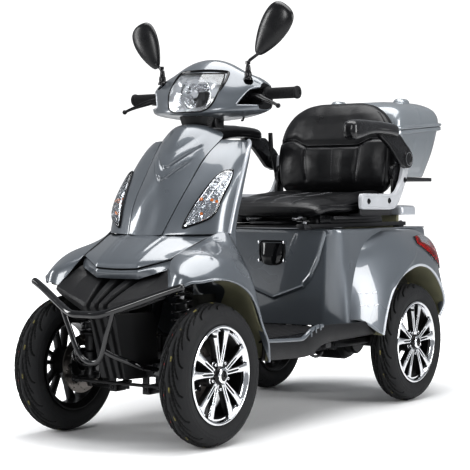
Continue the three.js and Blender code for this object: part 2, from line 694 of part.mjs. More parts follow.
function boxLid() {
  const ring = (zFront, zBack, half, front, back, inset) => [
    [-half + 40, front + inset, zFront], [half - 40, front + inset, zFront],
    [half - inset, front + 40, zFront], [half - inset, back - 60, zBack],
    [half - 60, back - inset, zBack], [-half + 60, back - inset, zBack],
    [-half + inset, back - 60, zBack], [-half + inset, front + 40, zFront],
  ];
  const shape = (lift, inset) => [
    ring(956 - lift, 989 - lift, 218, 658, 1048, inset),
    ring(1008 - lift * 0.3, 1020 - lift * 0.3, 210, 676, 1022, inset),
    ring(1048 - inset, 1056 - inset, 184, 712, 970, inset),
    ring(1062 - inset, 1070 - inset, 130, 760, 920, inset),
  ];
  return cut(loft(shape(0, 0)), loft(shape(8, PANEL)));
}

function addChassis() {
  piece("chassis_frame", chassisFrame(), FRAME_STEEL);
  piece("floor_pan", floorPan(), BLACK_PLASTIC);
  piece("battery_pack", box([-84, 84], [218, 478], [296.5, 520]), BLACK_PLASTIC);
}

function addFrontBody() {
  piece("front_apron", sheet(APRON_CENTRE, moved(0, PANEL, -1)), GREY_PAINT);
  const through = [8, -14, 3];
  const apronSide = sheet(APRON_SIDE, moved(-2, PANEL, -1));
  const indicatorGrid = patch(APRON_SIDE, [0.2, 0.66], [0.3, 0.78], 3, 2);
  const [indicator, apronWithWindow] = lensInPanel(apronSide, indicatorGrid, through, 1.012);
  pair("apron_side", apronWithWindow, GREY_PAINT);
  pair("indicator", indicator, CLEAR_LENS);
  piece("leg_shield", legShield(), PALE_PAINT);
  piece("hood", hood(), GREY_PAINT);
  pair("front_fender", frontFender(), GREY_PAINT);
  piece("nose_snout", noseSnout(), BLACK_PLASTIC);
  piece("nose_skirt", noseSkirt(), BLACK_PLASTIC);
  piece("bumper_bar", bumperBar(), GLOSS_BLACK);
}

function addRearBody() {
  piece("seat_box", seatBox(), GREY_PAINT);
  const [tailLight, fenderWithWindow] = lensInPanel(rearFender(), tailLightGrid, [10, 4, 12], 1.012);
  pair("rear_fender", fenderWithWindow, GREY_PAINT);
  pair("tail_light", tailLight, RED_LENS);
  piece("seat_box_latch", box([-44, 44], [148, 157], [486, 558]), GLOSS_BLACK);
}

function addWheels() {
  pair("front_tyre", inWheel(tyre(), FRONT_TRACK_X, -HALF_WHEELBASE), RUBBER);
  pair("front_rim", inWheel(rim(), FRONT_TRACK_X, -HALF_WHEELBASE), CHROME);
  pair("rear_tyre", inWheel(tyre(), REAR_TRACK_X, HALF_WHEELBASE), RUBBER);
  pair("rear_rim", inWheel(rim(), REAR_TRACK_X, HALF_WHEELBASE), CHROME);
}

function rearAxle() {
  const y = HALF_WHEELBASE;
  const z = TYRE_RADIUS;
  const beam = rod([-222, y, z], [222, y, z], 24, 16);
  const shaft = rod([-REAR_TRACK_X - 24, y, z], [REAR_TRACK_X + 24, y, z], AXLE_RADIUS);
  const motor = rod([-70, y, z], [66, y, z], 74, 24);
  const arms = boxPair([134, 156], [SWING_PIVOT_Y, y], [SWING_PIVOT_Z - 11, SWING_PIVOT_Z + 11]);
  const pivotAt = (x) => [x, SWING_PIVOT_Y, SWING_PIVOT_Z];
  const sleeves = [-1, 1].map((s) => rod(pivotAt(s * 133), pivotAt(s * 157), 17, 16));
  const bore = rod([-200, SWING_PIVOT_Y, SWING_PIVOT_Z], [200, SWING_PIVOT_Y, SWING_PIVOT_Z], 9.5);
  return cut(join(beam, shaft, motor, ...arms, ...sleeves), bore);
}

function addRunningGear() {
  pair("strut", strut(), FRAME_STEEL);
  pair("knuckle", knuckle(), FRAME_STEEL);
  pair("lower_arm", lowerArm(), FRAME_STEEL);
  piece("tie_rod", tieRod(), FRAME_STEEL);
  piece("rear_axle", rearAxle(), FRAME_STEEL);
}

function addHandlebar() {
  piece("steering_column", steeringColumn(), FRAME_STEEL);
  const [lens, shell] = lensInPanel(nacelle(), HEADLIGHT, [0, -9, 3], 1.01);
  piece("headlight", lens, CLEAR_LENS);
  piece("nacelle_front", common(shell, frontHalf()), GREY_PAINT);
  piece("nacelle_rear", common(shell, rearHalf()), BLACK_PLASTIC);
  pair("grip", grip(), RUBBER);
  pair("brake_lever", brakeLever(), BLACK_PLASTIC);
  pair("mirror", mirror(), BLACK_PLASTIC);
  piece("horn_button", rod([120, -120, 1078], [120, -96, 1090], 8), RUBBER);
}

function addSeat() {
  piece("seat_rails", seatRails(), FRAME_STEEL);
  piece("seat_frame", seatFrame(), FRAME_STEEL);
  piece("seat_cushion", seatCushion(), LEATHER);
  piece("backrest", backrest(), LEATHER);
  pair("side_bracket", sideBracket(), WHITE_PLASTIC);
  pair("armrest", armrest(), BLACK_PLASTIC);
  const bar = [
    [60, 215, 630], [60, 124, 630], [30, 92, 630],
    [-30, 92, 630], [-60, 124, 630], [-60, 215, 630],
  ];
  piece("slide_lever", bentTube(bar, 4, 12, 6), FRAME_STEEL);
  const lever = [[-246, 580, 770], [-246, 545, 860], [-246, 531, 954]];
  piece("recline_lever", bentTube(lever, 5, 6, 8), BLACK_PLASTIC);
  piece("top_box", topBox(), GREY_PAINT);
  piece("top_box_lid", boxLid(), GREY_PAINT);
}

addChassis();
addFrontBody();
addRearBody();
addWheels();
addRunningGear();
addHandlebar();
addSeat();
scooter.position.y = -LENGTH_CENTRE_Y;

export default scooter;
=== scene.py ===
"""A four-wheel mobility scooter, finished around its CAD frame.

Shapes are laid out in millimetres about the point on the ground midway between the axles, which the
frame's tyres give, and become metres in the frame. +X is the rider's left and the front is towards -Y.
"""
import json
import math

import bmesh
import bpy
import numpy as np
from mathutils import Matrix, Vector
from mathutils.bvhtree import BVHTree

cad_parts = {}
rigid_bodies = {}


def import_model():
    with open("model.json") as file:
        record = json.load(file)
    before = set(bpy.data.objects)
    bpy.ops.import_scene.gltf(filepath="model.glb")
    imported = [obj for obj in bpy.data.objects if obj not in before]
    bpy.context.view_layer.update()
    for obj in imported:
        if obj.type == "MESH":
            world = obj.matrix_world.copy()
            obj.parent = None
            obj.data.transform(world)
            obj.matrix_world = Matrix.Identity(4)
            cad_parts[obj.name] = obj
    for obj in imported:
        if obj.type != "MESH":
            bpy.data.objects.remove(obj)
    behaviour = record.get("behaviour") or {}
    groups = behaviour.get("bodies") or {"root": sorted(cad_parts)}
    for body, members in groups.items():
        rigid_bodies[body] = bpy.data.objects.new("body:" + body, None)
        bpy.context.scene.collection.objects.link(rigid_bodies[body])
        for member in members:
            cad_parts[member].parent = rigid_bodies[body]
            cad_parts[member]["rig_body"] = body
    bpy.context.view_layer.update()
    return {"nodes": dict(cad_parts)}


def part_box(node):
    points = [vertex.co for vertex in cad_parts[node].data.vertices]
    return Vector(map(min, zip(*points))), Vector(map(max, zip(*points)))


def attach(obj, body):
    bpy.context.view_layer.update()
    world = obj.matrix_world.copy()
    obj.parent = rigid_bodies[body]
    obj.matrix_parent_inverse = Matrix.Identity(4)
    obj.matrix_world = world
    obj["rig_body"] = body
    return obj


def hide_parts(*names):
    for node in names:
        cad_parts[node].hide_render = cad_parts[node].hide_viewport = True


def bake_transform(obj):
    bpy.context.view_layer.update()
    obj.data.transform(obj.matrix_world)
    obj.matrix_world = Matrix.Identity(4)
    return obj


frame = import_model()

MM = 0.001


def centre(node):
    low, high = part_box(node)
    return (low + high) / 2


FRONT_AXLE = centre("front_tyre_left")
REAR_AXLE = centre("rear_tyre_left")
MID_Y = (FRONT_AXLE.y + REAR_AXLE.y) / 2
HALF_BASE = (REAR_AXLE.y - FRONT_AXLE.y) / 2 / MM
FRONT_X = FRONT_AXLE.x / MM
REAR_X = REAR_AXLE.x / MM
HUB_Z = FRONT_AXLE.z / MM
SIDES = {"left": 1, "right": -1}


# ---------------------------------------------------------------- curves and surfaces
def spline_rows(count, per, breaks=(), closed=False):
    """A matrix that turns `count` control values into a dense smooth run through them.

    Natural cubic splines join at the breaks, where the run has a crease. A closed run is periodic."""
    if closed:
        n = count
        second = np.zeros((n, n))
        right = np.zeros((n, n))
        for i in range(n):
            before, after = (i - 1) % n, (i + 1) % n
            second[i, [before, i, after]] += [1, 4, 1]
            right[i, [before, i, after]] += [6, -12, 6]
        bend = np.linalg.solve(second, right)
        rows = []
        for i in range(n):
            for f in np.arange(per) / per:
                rows.append(_cubic(n, bend, i, (i + 1) % n, f))
        return np.array(rows)
    cuts = [0, *sorted(breaks), count - 1]
    rows = []
    for start, stop in zip(cuts, cuts[1:]):
        n = stop - start + 1
        second = np.eye(n)
        right = np.zeros((n, n))
        for i in range(1, n - 1):
            second[i, i - 1 : i + 2] = [1, 4, 1]
            right[i, i - 1 : i + 2] = [6, -12, 6]
        bend = np.linalg.solve(second, right)
        for i in range(n - 1):
            for f in np.arange(per) / per:
                row = np.zeros(count)
                row[start : stop + 1] = _cubic(n, bend, i, i + 1, f)
                rows.append(row)
    last = np.zeros(count)
    last[-1] = 1
    return np.array(rows + [last])


def _cubic(n, bend, i, k, f):
    row = np.zeros(n)
    row[i] += 1 - f
    row[k] += f
    row += ((1 - f) ** 3 - (1 - f)) / 6 * bend[i] + (f**3 - f) / 6 * bend[k]
    return row


def surface(grid, per_row, per_column, row_breaks=(), column_breaks=(), closed=False):
    """A dense grid of points on the smooth surface through a coarse grid of points."""
    grid = np.array(grid, float)
    down = spline_rows(grid.shape[0], per_row, row_breaks)
    across = spline_rows(grid.shape[1], per_column, column_breaks, closed)
    return np.einsum("ij,jkc,lk->ilc", down, grid, across)


def both_sides(rows):
    """Half rows from the centre plane outwards, completed with their mirror image."""
    rows = np.array(rows, float)
    return np.concatenate([rows[:, :0:-1] * [-1, 1, 1], rows], axis=1)


def ramp(value, low, high):
    """0 below low, 1 above high and smooth between."""
    t = np.clip((value - low) / (high - low), 0, 1)
    return t * t * (3 - 2 * t)


def groove(distance, width):
    """1 on a line, falling smoothly to 0 at half the width from it."""
    return 1 - ramp(np.abs(distance), 0, width / 2)


def grid_faces(rows, columns, closed=False):
    faces = []
    for r in range(rows - 1):
        for c in range(columns if closed else columns - 1):
            d = (c + 1) % columns
            faces.append((r * columns + c, r * columns + d, (r + 1) * columns + d, (r + 1) * columns + c))
    return faces


# ---------------------------------------------------------------- pieces
def to_frame(points):
    """Layout points in millimetres as rows of frame coordinates in metres."""
    points = np.asarray(points, float).reshape(-1, 3) * MM
    return points + [0, MID_Y, 0]


def frame_point(point):
    return tuple(to_frame([point])[0])


def new_object(name, vertices, faces):
    """A mesh object from points in millimetres about the point midway between the axles."""
    mesh = bpy.data.meshes.new(name)
    mesh.from_pydata(to_frame(vertices).tolist(), [], faces)
    mesh.validate()
    obj = bpy.data.objects.new(name, mesh)
    bpy.context.scene.collection.objects.link(obj)
    return obj


def modify(obj, kind, **settings):
    modifier = obj.modifiers.new(kind.lower(), kind)
    for key, value in settings.items():
        setattr(modifier, key, value)
    return modifier


def round_edges(obj, width, least_angle):
    """Rounds the edges that are sharper than an angle in degrees."""
    modify(obj, "BEVEL", width=width * MM, segments=2, limit_method="ANGLE",
           angle_limit=math.radians(least_angle))
    return bake(obj)


def bake(obj):
    """Turns the modified shape into the mesh itself."""
    depsgraph = bpy.context.evaluated_depsgraph_get()
    mesh = bpy.data.meshes.new_from_object(obj.evaluated_get(depsgraph))
    obj.modifiers.clear()
    obj.data = mesh
    return obj


def face_out(obj):
    work = bmesh.new()
    work.from_mesh(obj.data)
    bmesh.ops.remove_doubles(work, verts=work.verts, dist=1e-6)
    bmesh.ops.recalc_face_normals(work, faces=work.faces)
    work.to_mesh(obj.data)
    work.free()


def smooth(obj, angle=32):
    obj.data.polygons.foreach_set("use_smooth", [True] * len(obj.data.polygons))
    obj.data.set_sharp_from_angle(angle=math.radians(angle))


def finish_piece(obj, body, material, stands_for=(), angle=32):
    """Shading, material, body and the CAD nodes that the piece stands for."""
    smooth(obj, angle)
    obj.data.materials.clear()
    obj.data.materials.append(material)
    if stands_for:
        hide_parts(*stands_for)
    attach(obj, body)
    return obj


def shell(name, points, body, material, thickness=4.0, stands_for=(), closed=False,
          edge=1.2, inside=None, even=True):
    """A moulded panel: a dense grid of points given a thickness inwards, with rounded rims."""
    rows, columns = points.shape[:2]
    obj = new_object(name, points, grid_faces(rows, columns, closed))
    face_out(obj)
    aim_normals(obj, points.reshape(-1, 3).mean(0) if inside is None else inside)
    modify(obj, "SOLIDIFY", thickness=thickness * MM, offset=-1, use_even_offset=even)
    bake(obj)
    if edge:
        round_edges(obj, edge, 50)
    return finish_piece(obj, body, material, stands_for)


def aim_normals(obj, inside):
    """Turns an open sheet so that its faces point away from a point inside the object."""
    inside = Vector(to_frame(inside)[0])
    score = sum((p.center - inside).dot(p.normal) * p.area for p in obj.data.polygons)
    if score < 0:
        obj.data.flip_normals()


def capped(name, rings):
    """An unfinished body from closed rings of points, with a cap at both ends."""
    rows, columns = rings.shape[:2]
    faces = grid_faces(rows, columns, True)
    faces += [tuple(range(columns)), tuple(range((rows - 1) * columns, rows * columns))]
    obj = new_object(name, rings.reshape(-1, 3), faces)
    face_out(obj)
    return obj


def solid(name, points, body, material, stands_for=(), edge=0.0, angle=32):
    """A closed body from rings of points, capped at both ends."""
    obj = capped(name, points)
    if edge:
        round_edges(obj, edge, 40)
    return finish_piece(obj, body, material, stands_for, angle)


def joined(name, parts):
    """One mesh object from several, which it uses up."""
    work = bmesh.new()
    for part in parts:
        work.from_mesh(part.data)
        bpy.data.objects.remove(part)
    mesh = bpy.data.meshes.new(name)
    work.to_mesh(mesh)
    work.free()
    obj = bpy.data.objects.new(name, mesh)
    bpy.context.scene.collection.objects.link(obj)
    return obj


def merge(name, parts, body, material, stands_for=(), angle=32):
    """One piece from several unfinished mesh objects."""
    return finish_piece(joined(name, parts), body, material, stands_for, angle)


def without(obj, *cutters):
    """Cuts other mesh objects out of one, and uses them up."""
    for cutter in cutters:
        modify(obj, "BOOLEAN", object=cutter, operation="DIFFERENCE", solver="EXACT")
    bake(obj)
    for cutter in cutters:
        bpy.data.objects.remove(cutter)
    return obj


def box_part(low, high, edge=2.0, segments=2):
    """An unfinished block with rounded edges."""
    low, high = np.array(low, float), np.array(high, float)
    corners = [[x, y, z] for x in (0, 1) for y in (0, 1) for z in (0, 1)]
    vertices = low + np.array(corners) * (high - low)
    faces = [(0, 1, 3, 2), (4, 6, 7, 5), (0, 4, 5, 1), (2, 3, 7, 6), (0, 2, 6, 4), (1, 5, 7, 3)]
    obj = new_object("block", vertices, faces)
    face_out(obj)
    if edge:
        modify(obj, "BEVEL", width=edge * MM, segments=segments)
        bake(obj)
    return obj


def frames_along(path):
    """Two unit vectors across a path at each of its points, with little twist."""
    tangent = np.gradient(path, axis=0)
    tangent /= np.linalg.norm(tangent, axis=1, keepdims=True)
    side = np.cross(tangent[0], [0, 0, 1.0])
    if np.linalg.norm(side) < 0.1:
        side = np.cross(tangent[0], [1.0, 0, 0])
    sides = []
    for t in tangent:
        side = side - t * np.dot(side, t)
        side /= np.linalg.norm(side)
        sides.append(side)
    sides = np.array(sides)
    return sides, np.cross(tangent, sides)


def around(count):
    """Evenly spaced angles of a full turn, in radians."""
    return np.arange(count) * 2 * math.pi / count


def rings_about(path, a, b, radius, ring):
    """Rings of points about a path, in the plane of the unit vectors a and b at each of its points."""
    turn = around(ring)
    across = a[:, None] * np.cos(turn)[None, :, None] + b[:, None] * np.sin(turn)[None, :, None]
    return path[:, None] + radius * across


def tube_part(points, radius, per=8, ring=14):
    """An unfinished round tube along a smooth path; radius may be a list, one for each point."""
    points = np.array(points, float)
    weights = spline_rows(len(points), per)
    path = weights @ points
    radii = np.full(len(path), radius) if np.isscalar(radius) else weights @ np.array(radius, float)
    a, b = frames_along(path)
    return capped("tube", rings_about(path, a, b, radii[:, None, None], ring))


def turned_part(profile, middle, axis=(1, 0, 0), ring=48):
    """An unfinished body turned about an axis: the profile is [radius, distance along the axis] pairs."""
    profile = np.array(profile, float)
    axis = Vector(axis).normalized()
    a = axis.orthogonal().normalized()
    b = axis.cross(a)
    turn = around(ring)
    across = np.cos(turn)[:, None] * np.array(a) + np.sin(turn)[:, None] * np.array(b)
    outwards, along = profile[:, None, 0:1], profile[:, None, 1:2]
    rings = outwards * across[None] + along * np.array(axis)[None, None] + np.array(middle, float)
    faces = grid_faces(len(profile), ring, True)
    open_ends = () if np.allclose(profile[0], profile[-1]) else (0, len(profile) - 1)
    for end in open_ends:
        if profile[end, 0] > 1e-6:
            faces.append(tuple(range(end * ring, (end + 1) * ring)))
    obj = new_object("turned", rings.reshape(-1, 3), faces)
    face_out(obj)
    return obj


def bolt_part(middle, axis, radius=7.0, height=5.0):
    """An unfinished socket bolt head with a washer; it stands on `middle` and points along the axis."""
    r, h = radius, height
    profile = [
        [0, -2], [r * 1.45, -2], [r * 1.45, 0.6], [r * 1.35, 1.0], [r, 1.0], [r, h * 0.75], [r * 0.82, h],
        [r * 0.5, h], [r * 0.45, h * 0.45], [0, h * 0.45],
    ]
    return turned_part(profile, middle, axis, 18)


# ---------------------------------------------------------------- materials
class Graph:
    """A material's nodes, with short ways to add the ones that are used most."""

    def __init__(self, name):
        self.material = bpy.data.materials.new(name)
        self.material.use_nodes = True
        self.tree = self.material.node_tree
        self.tree.nodes.clear()
        output = self.add("ShaderNodeOutputMaterial")
        self.shader = self.add("ShaderNodeBsdfPrincipled")
        self.link(self.shader.outputs[0], output.inputs[0])
        self.place = self.add("ShaderNodeTexCoord").outputs["Object"]

    def add(self, kind, **settings):
        node = self.tree.nodes.new(kind)
        for key, value in settings.items():
            setattr(node, key, value)
        return node

    def link(self, source, target):
        self.tree.links.new(source, target)

    def set(self, **values):
        for key, value in values.items():
            socket = self.shader.inputs[key.replace("_", " ")]
            if hasattr(value, "is_output"):
                self.link(value, socket)
            else:
                socket.default_value = value

    def noise(self, scale, detail=4.0, roughness=0.55, stretch=None):
        node = self.add("ShaderNodeTexNoise")
        node.inputs["Scale"].default_value = scale
        node.inputs["Detail"].default_value = detail
        node.inputs["Roughness"].default_value = roughness
        self.link(self.stretched(stretch), node.inputs["Vector"])
        return node.outputs["Fac"]

    def cells(self, scale, randomness=1.0):
        node = self.add("ShaderNodeTexVoronoi", feature="F1")
        node.inputs["Scale"].default_value = scale
        node.inputs["Randomness"].default_value = randomness
        self.link(self.place, node.inputs["Vector"])
        return node.outputs["Distance"]

    def stretched(self, stretch):
        if stretch is None:
            return self.place
        node = self.add("ShaderNodeMapping")
        node.inputs["Scale"].default_value = stretch
        self.link(self.place, node.inputs["Vector"])
        return node.outputs[0]

    def span(self, value, low, high, start=0.0, end=1.0):
        """A value moved from the range low..high to start..end."""
        node = self.add("ShaderNodeMapRange")
        for socket, number in zip(("From Min", "From Max", "To Min", "To Max"), (low, high, start, end)):
            node.inputs[socket].default_value = number
        self.link(value, node.inputs["Value"])
        return node.outputs[0]

    def math(self, operation, a, b=0.0):
        node = self.add("ShaderNodeMath", operation=operation)
        for socket, value in zip(node.inputs, (a, b)):
            if hasattr(value, "is_output"):
                self.link(value, socket)
            else:
                socket.default_value = value
        return node.outputs[0]

    def mix(self, factor, a, b):
        node = self.add("ShaderNodeMix", data_type="RGBA")
        for index, value in ((0, factor), (6, a), (7, b)):
            if hasattr(value, "is_output"):
                self.link(value, node.inputs[index])
            else:
                node.inputs[index].default_value = value if index == 0 else (*value[:3], 1)
        return node.outputs[2]

    def bump(self, height, strength, distance):
        node = self.add("ShaderNodeBump")
        node.inputs["Strength"].default_value = strength
        node.inputs["Distance"].default_value = distance
        self.link(height, node.inputs["Height"])
        return node.outputs[0]

    def edges(self, low=0.52, high=0.6):
        """1 on convex edges and 0 elsewhere."""
        node = self.add("ShaderNodeNewGeometry")
        return self.span(node.outputs["Pointiness"], low, high)


def shade(colour, factor):
    return tuple(c * factor for c in colour)


def paint(name, colour, metallic):
    """Metallic paint under clear coat: fine flakes, orange peel, a slow drift of tone and lighter edges."""
    g = Graph(name)
    drift = g.noise(3.0, 3)
    tone = g.mix(drift, shade(colour, 0.9), shade(colour, 1.1))
    flake = g.span(g.cells(2600), 0.1, 0.6)
    tone = g.mix(g.math("MULTIPLY", flake, 0.25), tone, shade(colour, 1.8))
    tone = g.mix(g.math("MULTIPLY", g.edges(0.54, 0.68), 0.3), tone, shade(colour, 1.6))
    peel = g.bump(g.noise(220, 2), 0.025, 0.0004)
    g.set(Base_Color=tone, Metallic=metallic, Roughness=g.span(drift, 0.3, 0.7, 0.26, 0.34), Coat_Weight=1.0)
    g.set(Coat_Roughness=0.025, Coat_IOR=1.6, Normal=g.bump(flake, 0.05, 0.0002), Coat_Normal=peel)
    return g.material


def moulded(name, colour, rough, grain=900, depth=0.35, coat=0.0):
    """Moulded plastic with a spark-eroded grain, scuffed edges and slight dust."""
    g = Graph(name)
    drift = g.noise(9.0, 5)
    tone = g.mix(drift, shade(colour, 0.8), shade(colour, 1.25))
    tone = g.mix(g.math("MULTIPLY", g.edges(0.53, 0.62), 0.5), tone, shade(colour, 1.8))
    height = g.math("ADD", g.cells(grain), g.math("MULTIPLY", g.noise(grain * 1.7, 2), 0.5))
    rough_map = g.span(drift, 0.3, 0.7, rough - 0.06, rough + 0.08)
    g.set(Base_Color=tone, Roughness=rough_map, Normal=g.bump(height, depth, 0.0004), Coat_Weight=coat)
    g.set(Specular_IOR_Level=0.34)
    return g.material


def gloss(name, colour, metallic=0.0, rough=0.08, scratches=0.3, coat=0.0):
    """A hard glossy surface with faint hairline scratches and smudges."""
    g = Graph(name)
    smudge = g.noise(14.0, 5)
    lines = g.span(g.noise(160, 6, 0.7, (1, 1, 0.06)), 0.55, 0.75)
    tone = g.mix(smudge, shade(colour, 0.92), shade(colour, 1.06))
    tone = g.mix(g.math("MULTIPLY", g.edges(0.54, 0.66), 0.25), tone, shade(colour, 1.5))
    rough_map = g.math("ADD", g.span(smudge, 0.35, 0.7, rough, rough * 1.8),
                       g.math("MULTIPLY", lines, scratches * 0.12))
    g.set(Base_Color=tone, Metallic=metallic, Roughness=rough_map, Normal=g.bump(lines, 0.03, 0.0002))
    g.set(Coat_Weight=coat, Coat_Roughness=0.02, Coat_IOR=1.9)
    return g.material


def leather(name, colour):
    """Grained artificial leather: pebbled cells, fine creases and worn crowns."""
    g = Graph(name)
    cells = g.cells(520, 0.9)
    fine = g.cells(1300)
    creases = g.span(g.noise(46, 8, 0.7), 0.42, 0.6)
    height = g.math("ADD", g.math("MULTIPLY", cells, 0.8),
                    g.math("ADD", g.math("MULTIPLY", fine, 0.35), creases))
    drift = g.noise(11.0, 5)
    tone = g.mix(drift, shade(colour, 0.7), shade(colour, 1.35))
    tone = g.mix(g.math("MULTIPLY", g.edges(0.51, 0.56), 0.3), tone, shade(colour, 1.8))
    g.set(Base_Color=tone, Roughness=g.span(drift, 0.3, 0.7, 0.27, 0.37), Normal=g.bump(height, 0.16, 0.0007))
    g.set(Specular_IOR_Level=0.42)
    return g.material


def rubber(name, colour, marks=(), painted_shade_attribute=None):
    """Rubber: a dusty bloom, fine moulding grain and, on tyres, painted shade in the tread cuts and coloured
    marking lines.
    """
    g = Graph(name)
    dust = g.noise(26.0, 7, 0.62)
    tone = g.mix(dust, shade(colour, 0.75), shade(colour, 1.5))
    tone = g.mix(g.math("MULTIPLY", g.edges(0.52, 0.6), 0.35), tone, shade(colour, 2.2))
    for attribute, tint in marks:
        node = g.add("ShaderNodeAttribute", attribute_name=attribute)
        broken = g.math("MULTIPLY", node.outputs["Fac"], g.span(g.noise(60, 3), 0.42, 0.56))
        tone = g.mix(broken, tone, tint)
    # painted shade: near-black colour in the tread cuts, standing in for the shade that falls in them
    if painted_shade_attribute:
        node = g.add("ShaderNodeAttribute", attribute_name=painted_shade_attribute)
        tone = g.mix(g.math("MULTIPLY", node.outputs["Fac"], 0.85), tone, shade(colour, 0.08))
    height = g.math("ADD", g.noise(750, 3), g.math("MULTIPLY", g.noise(90, 4), 0.6))
    g.set(Base_Color=tone, Roughness=g.span(dust, 0.3, 0.7, 0.62, 0.82), Normal=g.bump(height, 0.25, 0.0006))
    g.set(Specular_IOR_Level=0.28)
    return g.material


def steel(name, colour, rough, metallic=1.0, brushed=(1, 1, 1)):
    """Stained metal, with streaks along one axis when it is brushed."""
    g = Graph(name)
    streaks = g.noise(300, 5, 0.7, brushed)
    stain = g.noise(20, 6, 0.65)
    tone = g.mix(stain, shade(colour, 0.72), shade(colour, 1.12))
    tone = g.mix(g.math("MULTIPLY", g.edges(0.53, 0.64), 0.4), tone, shade(colour, 1.7))
    g.set(Base_Color=tone, Metallic=metallic, Roughness=g.span(streaks, 0.3, 0.7, rough * 0.8, rough * 1.3))
    g.set(Normal=g.bump(streaks, 0.08, 0.0003))
    return g.material


def lens(name, colour, flutes=0.0):
    """Clear moulded lens: transmits light, with prisms pressed into it."""
    g = Graph(name)
    g.set(Base_Color=(*colour, 1), Roughness=0.02, IOR=1.45, Transmission_Weight=1.0)
    if flutes:
        prisms = g.cells(flutes, 0.15)
        g.set(Normal=g.bump(g.math("ADD", prisms, g.math("MULTIPLY", g.noise(40, 2), 0.2)), 0.35, 0.0015))
    return g.material


def facets(name, colour, scale):
    """Bright plated reflector, pressed in facets."""
    g = Graph(name)
    height = g.cells(scale, 0.25)
    tone = g.mix(g.noise(60, 3), shade(colour, 0.75), shade(colour, 1.05))
    g.set(Base_Color=tone, Metallic=0.9, Roughness=0.27, Normal=g.bump(height, 0.45, 0.003))
    return g.material


GREY = paint("grey_paint", (0.100, 0.112, 0.126), 0.35)
# pale grey paint, and the painted highlight on the apron's side edges
PALE = paint("pale_grey_paint", (0.42, 0.44, 0.47), 0.25)
BOX_GREY = paint("box_grey_paint", (0.19, 0.208, 0.225), 0.35)
BLACK = moulded("black_plastic", (0.010, 0.010, 0.011), 0.44, 620, 0.4)
FINE_BLACK = moulded("fine_black_plastic", (0.007, 0.007, 0.008), 0.24, 1400, 0.12)
LINER = moulded("liner_plastic", (0.20, 0.195, 0.13), 0.62, 500, 0.5)
DARK_LINER = moulded("dark_liner_plastic", (0.03, 0.03, 0.025), 0.62, 500, 0.5)
GLOSS_BLACK = gloss("gloss_black", (0.005, 0.005, 0.006), 0.0, 0.07)
BAR_BLACK = gloss("bar_black", (0.005, 0.005, 0.006), 0.0, 0.07, 0.3, 0.3)
SHELL_BLACK = gloss("satin_black_shell", (0.006, 0.006, 0.007), 0.0, 0.2, 0.2)
GAP_BLACK = moulded("shadow_gap_rubber", (0.006, 0.006, 0.006), 0.7, 900, 0.2)
CHROME = gloss("chrome", (0.82, 0.83, 0.85), 1.0, 0.06, 0.2)
SATIN_STEEL = steel("satin_steel", (0.55, 0.55, 0.56), 0.28)
DISC_STEEL = steel("disc_steel", (0.26, 0.24, 0.225), 0.34, 1.0, (1, 1, 8))
FRAME_STEEL = steel("frame_steel", (0.022, 0.022, 0.024), 0.42, 0.2)
BLACK_STEEL = steel("black_rim", (0.012, 0.012, 0.013), 0.3, 0.4)
RUBBER = rubber("grip_rubber", (0.011, 0.011, 0.012))
TYRE_LINES = (("yellow_line", (0.24, 0.21, 0.07)), ("red_line", (0.40, 0.03, 0.02)))
# the last argument carries the painted shade of the tread cuts
TYRE = rubber("tyre_rubber", (0.0165, 0.0168, 0.0178), TYRE_LINES, "painted_tread_shade")
LEATHER = leather("black_leather", (0.007, 0.007, 0.008))
WHITE = gloss("white_plastic", (0.44, 0.45, 0.47), 0.0, 0.16)
CLEAR = lens("clear_lens", (0.97, 0.985, 1.0), 90)
PLAIN_CLEAR = lens("plain_clear_lens", (0.98, 0.99, 1.0))
RED_CLEAR = lens("red_lens", (0.95, 0.05, 0.035), 320)
PATTERNED = facets("patterned_reflector", (0.42, 0.43, 0.45), 130)
REFLECTOR = facets("reflector", (0.80, 0.81, 0.83), 70)
AMBER = gloss("amber_bulb", (0.85, 0.22, 0.03), 0.0, 0.12)
RED = gloss("red_reflector", (0.80, 0.012, 0.012), 0.1, 0.15)
GLASS_MIRROR = gloss("mirror_glass", (0.9, 0.91, 0.92), 1.0, 0.01, 0.05)
CABLE = rubber("cable_sleeve", (0.012, 0.012, 0.012))


# ---------------------------------------------------------------- draping on a surface
SIGHT = 900  # how far before a place, in millimetres, the line that finds the surface starts


class Ground:
    """A dense surface that other shapes are laid on, seen along one direction."""

    def __init__(self, points, direction, closed=False):
        self.direction = Vector(direction).normalized()
        faces = grid_faces(*points.shape[:2], closed)
        self.tree = BVHTree.FromPolygons([tuple(p) for p in points.reshape(-1, 3)], faces)

    def at(self, point, lift=0.0):
        """The place on the surface under a point, raised towards the viewer by the lift."""
        start = Vector(point) - self.direction * SIGHT
        place, normal, _, _ = self.tree.ray_cast(start, self.direction)
        if place is None:
            place, normal, _, _ = self.tree.find_nearest(Vector(point))
        if normal.dot(self.direction) > 0:
            normal = -normal
        return place + normal * lift

    def drape(self, points, lift=0.0):
        points = np.asarray(points, float)
        lifts = np.broadcast_to(lift, points.shape[:-1]).reshape(-1)
        flat = [self.at(p, h) for p, h in zip(points.reshape(-1, 3), lifts)]
        return np.array([tuple(p) for p in flat]).reshape(points.shape)


def between(left, right, count, per=6):
    """A dense grid of points between two smooth edges, `count` columns across."""
    rows = spline_rows(len(left), per)
    a, b = rows @ np.array(left, float), rows @ np.array(right, float)
    t = np.linspace(0, 1, count)[None, :, None]
    return a[:, None] * (1 - t) + b[:, None] * t


def rim_of(points):
    """The closed edge of a dense grid of points."""
    return np.concatenate([points[0, :-1], points[:-1, -1], points[-1, :0:-1], points[:0:-1, 0]])


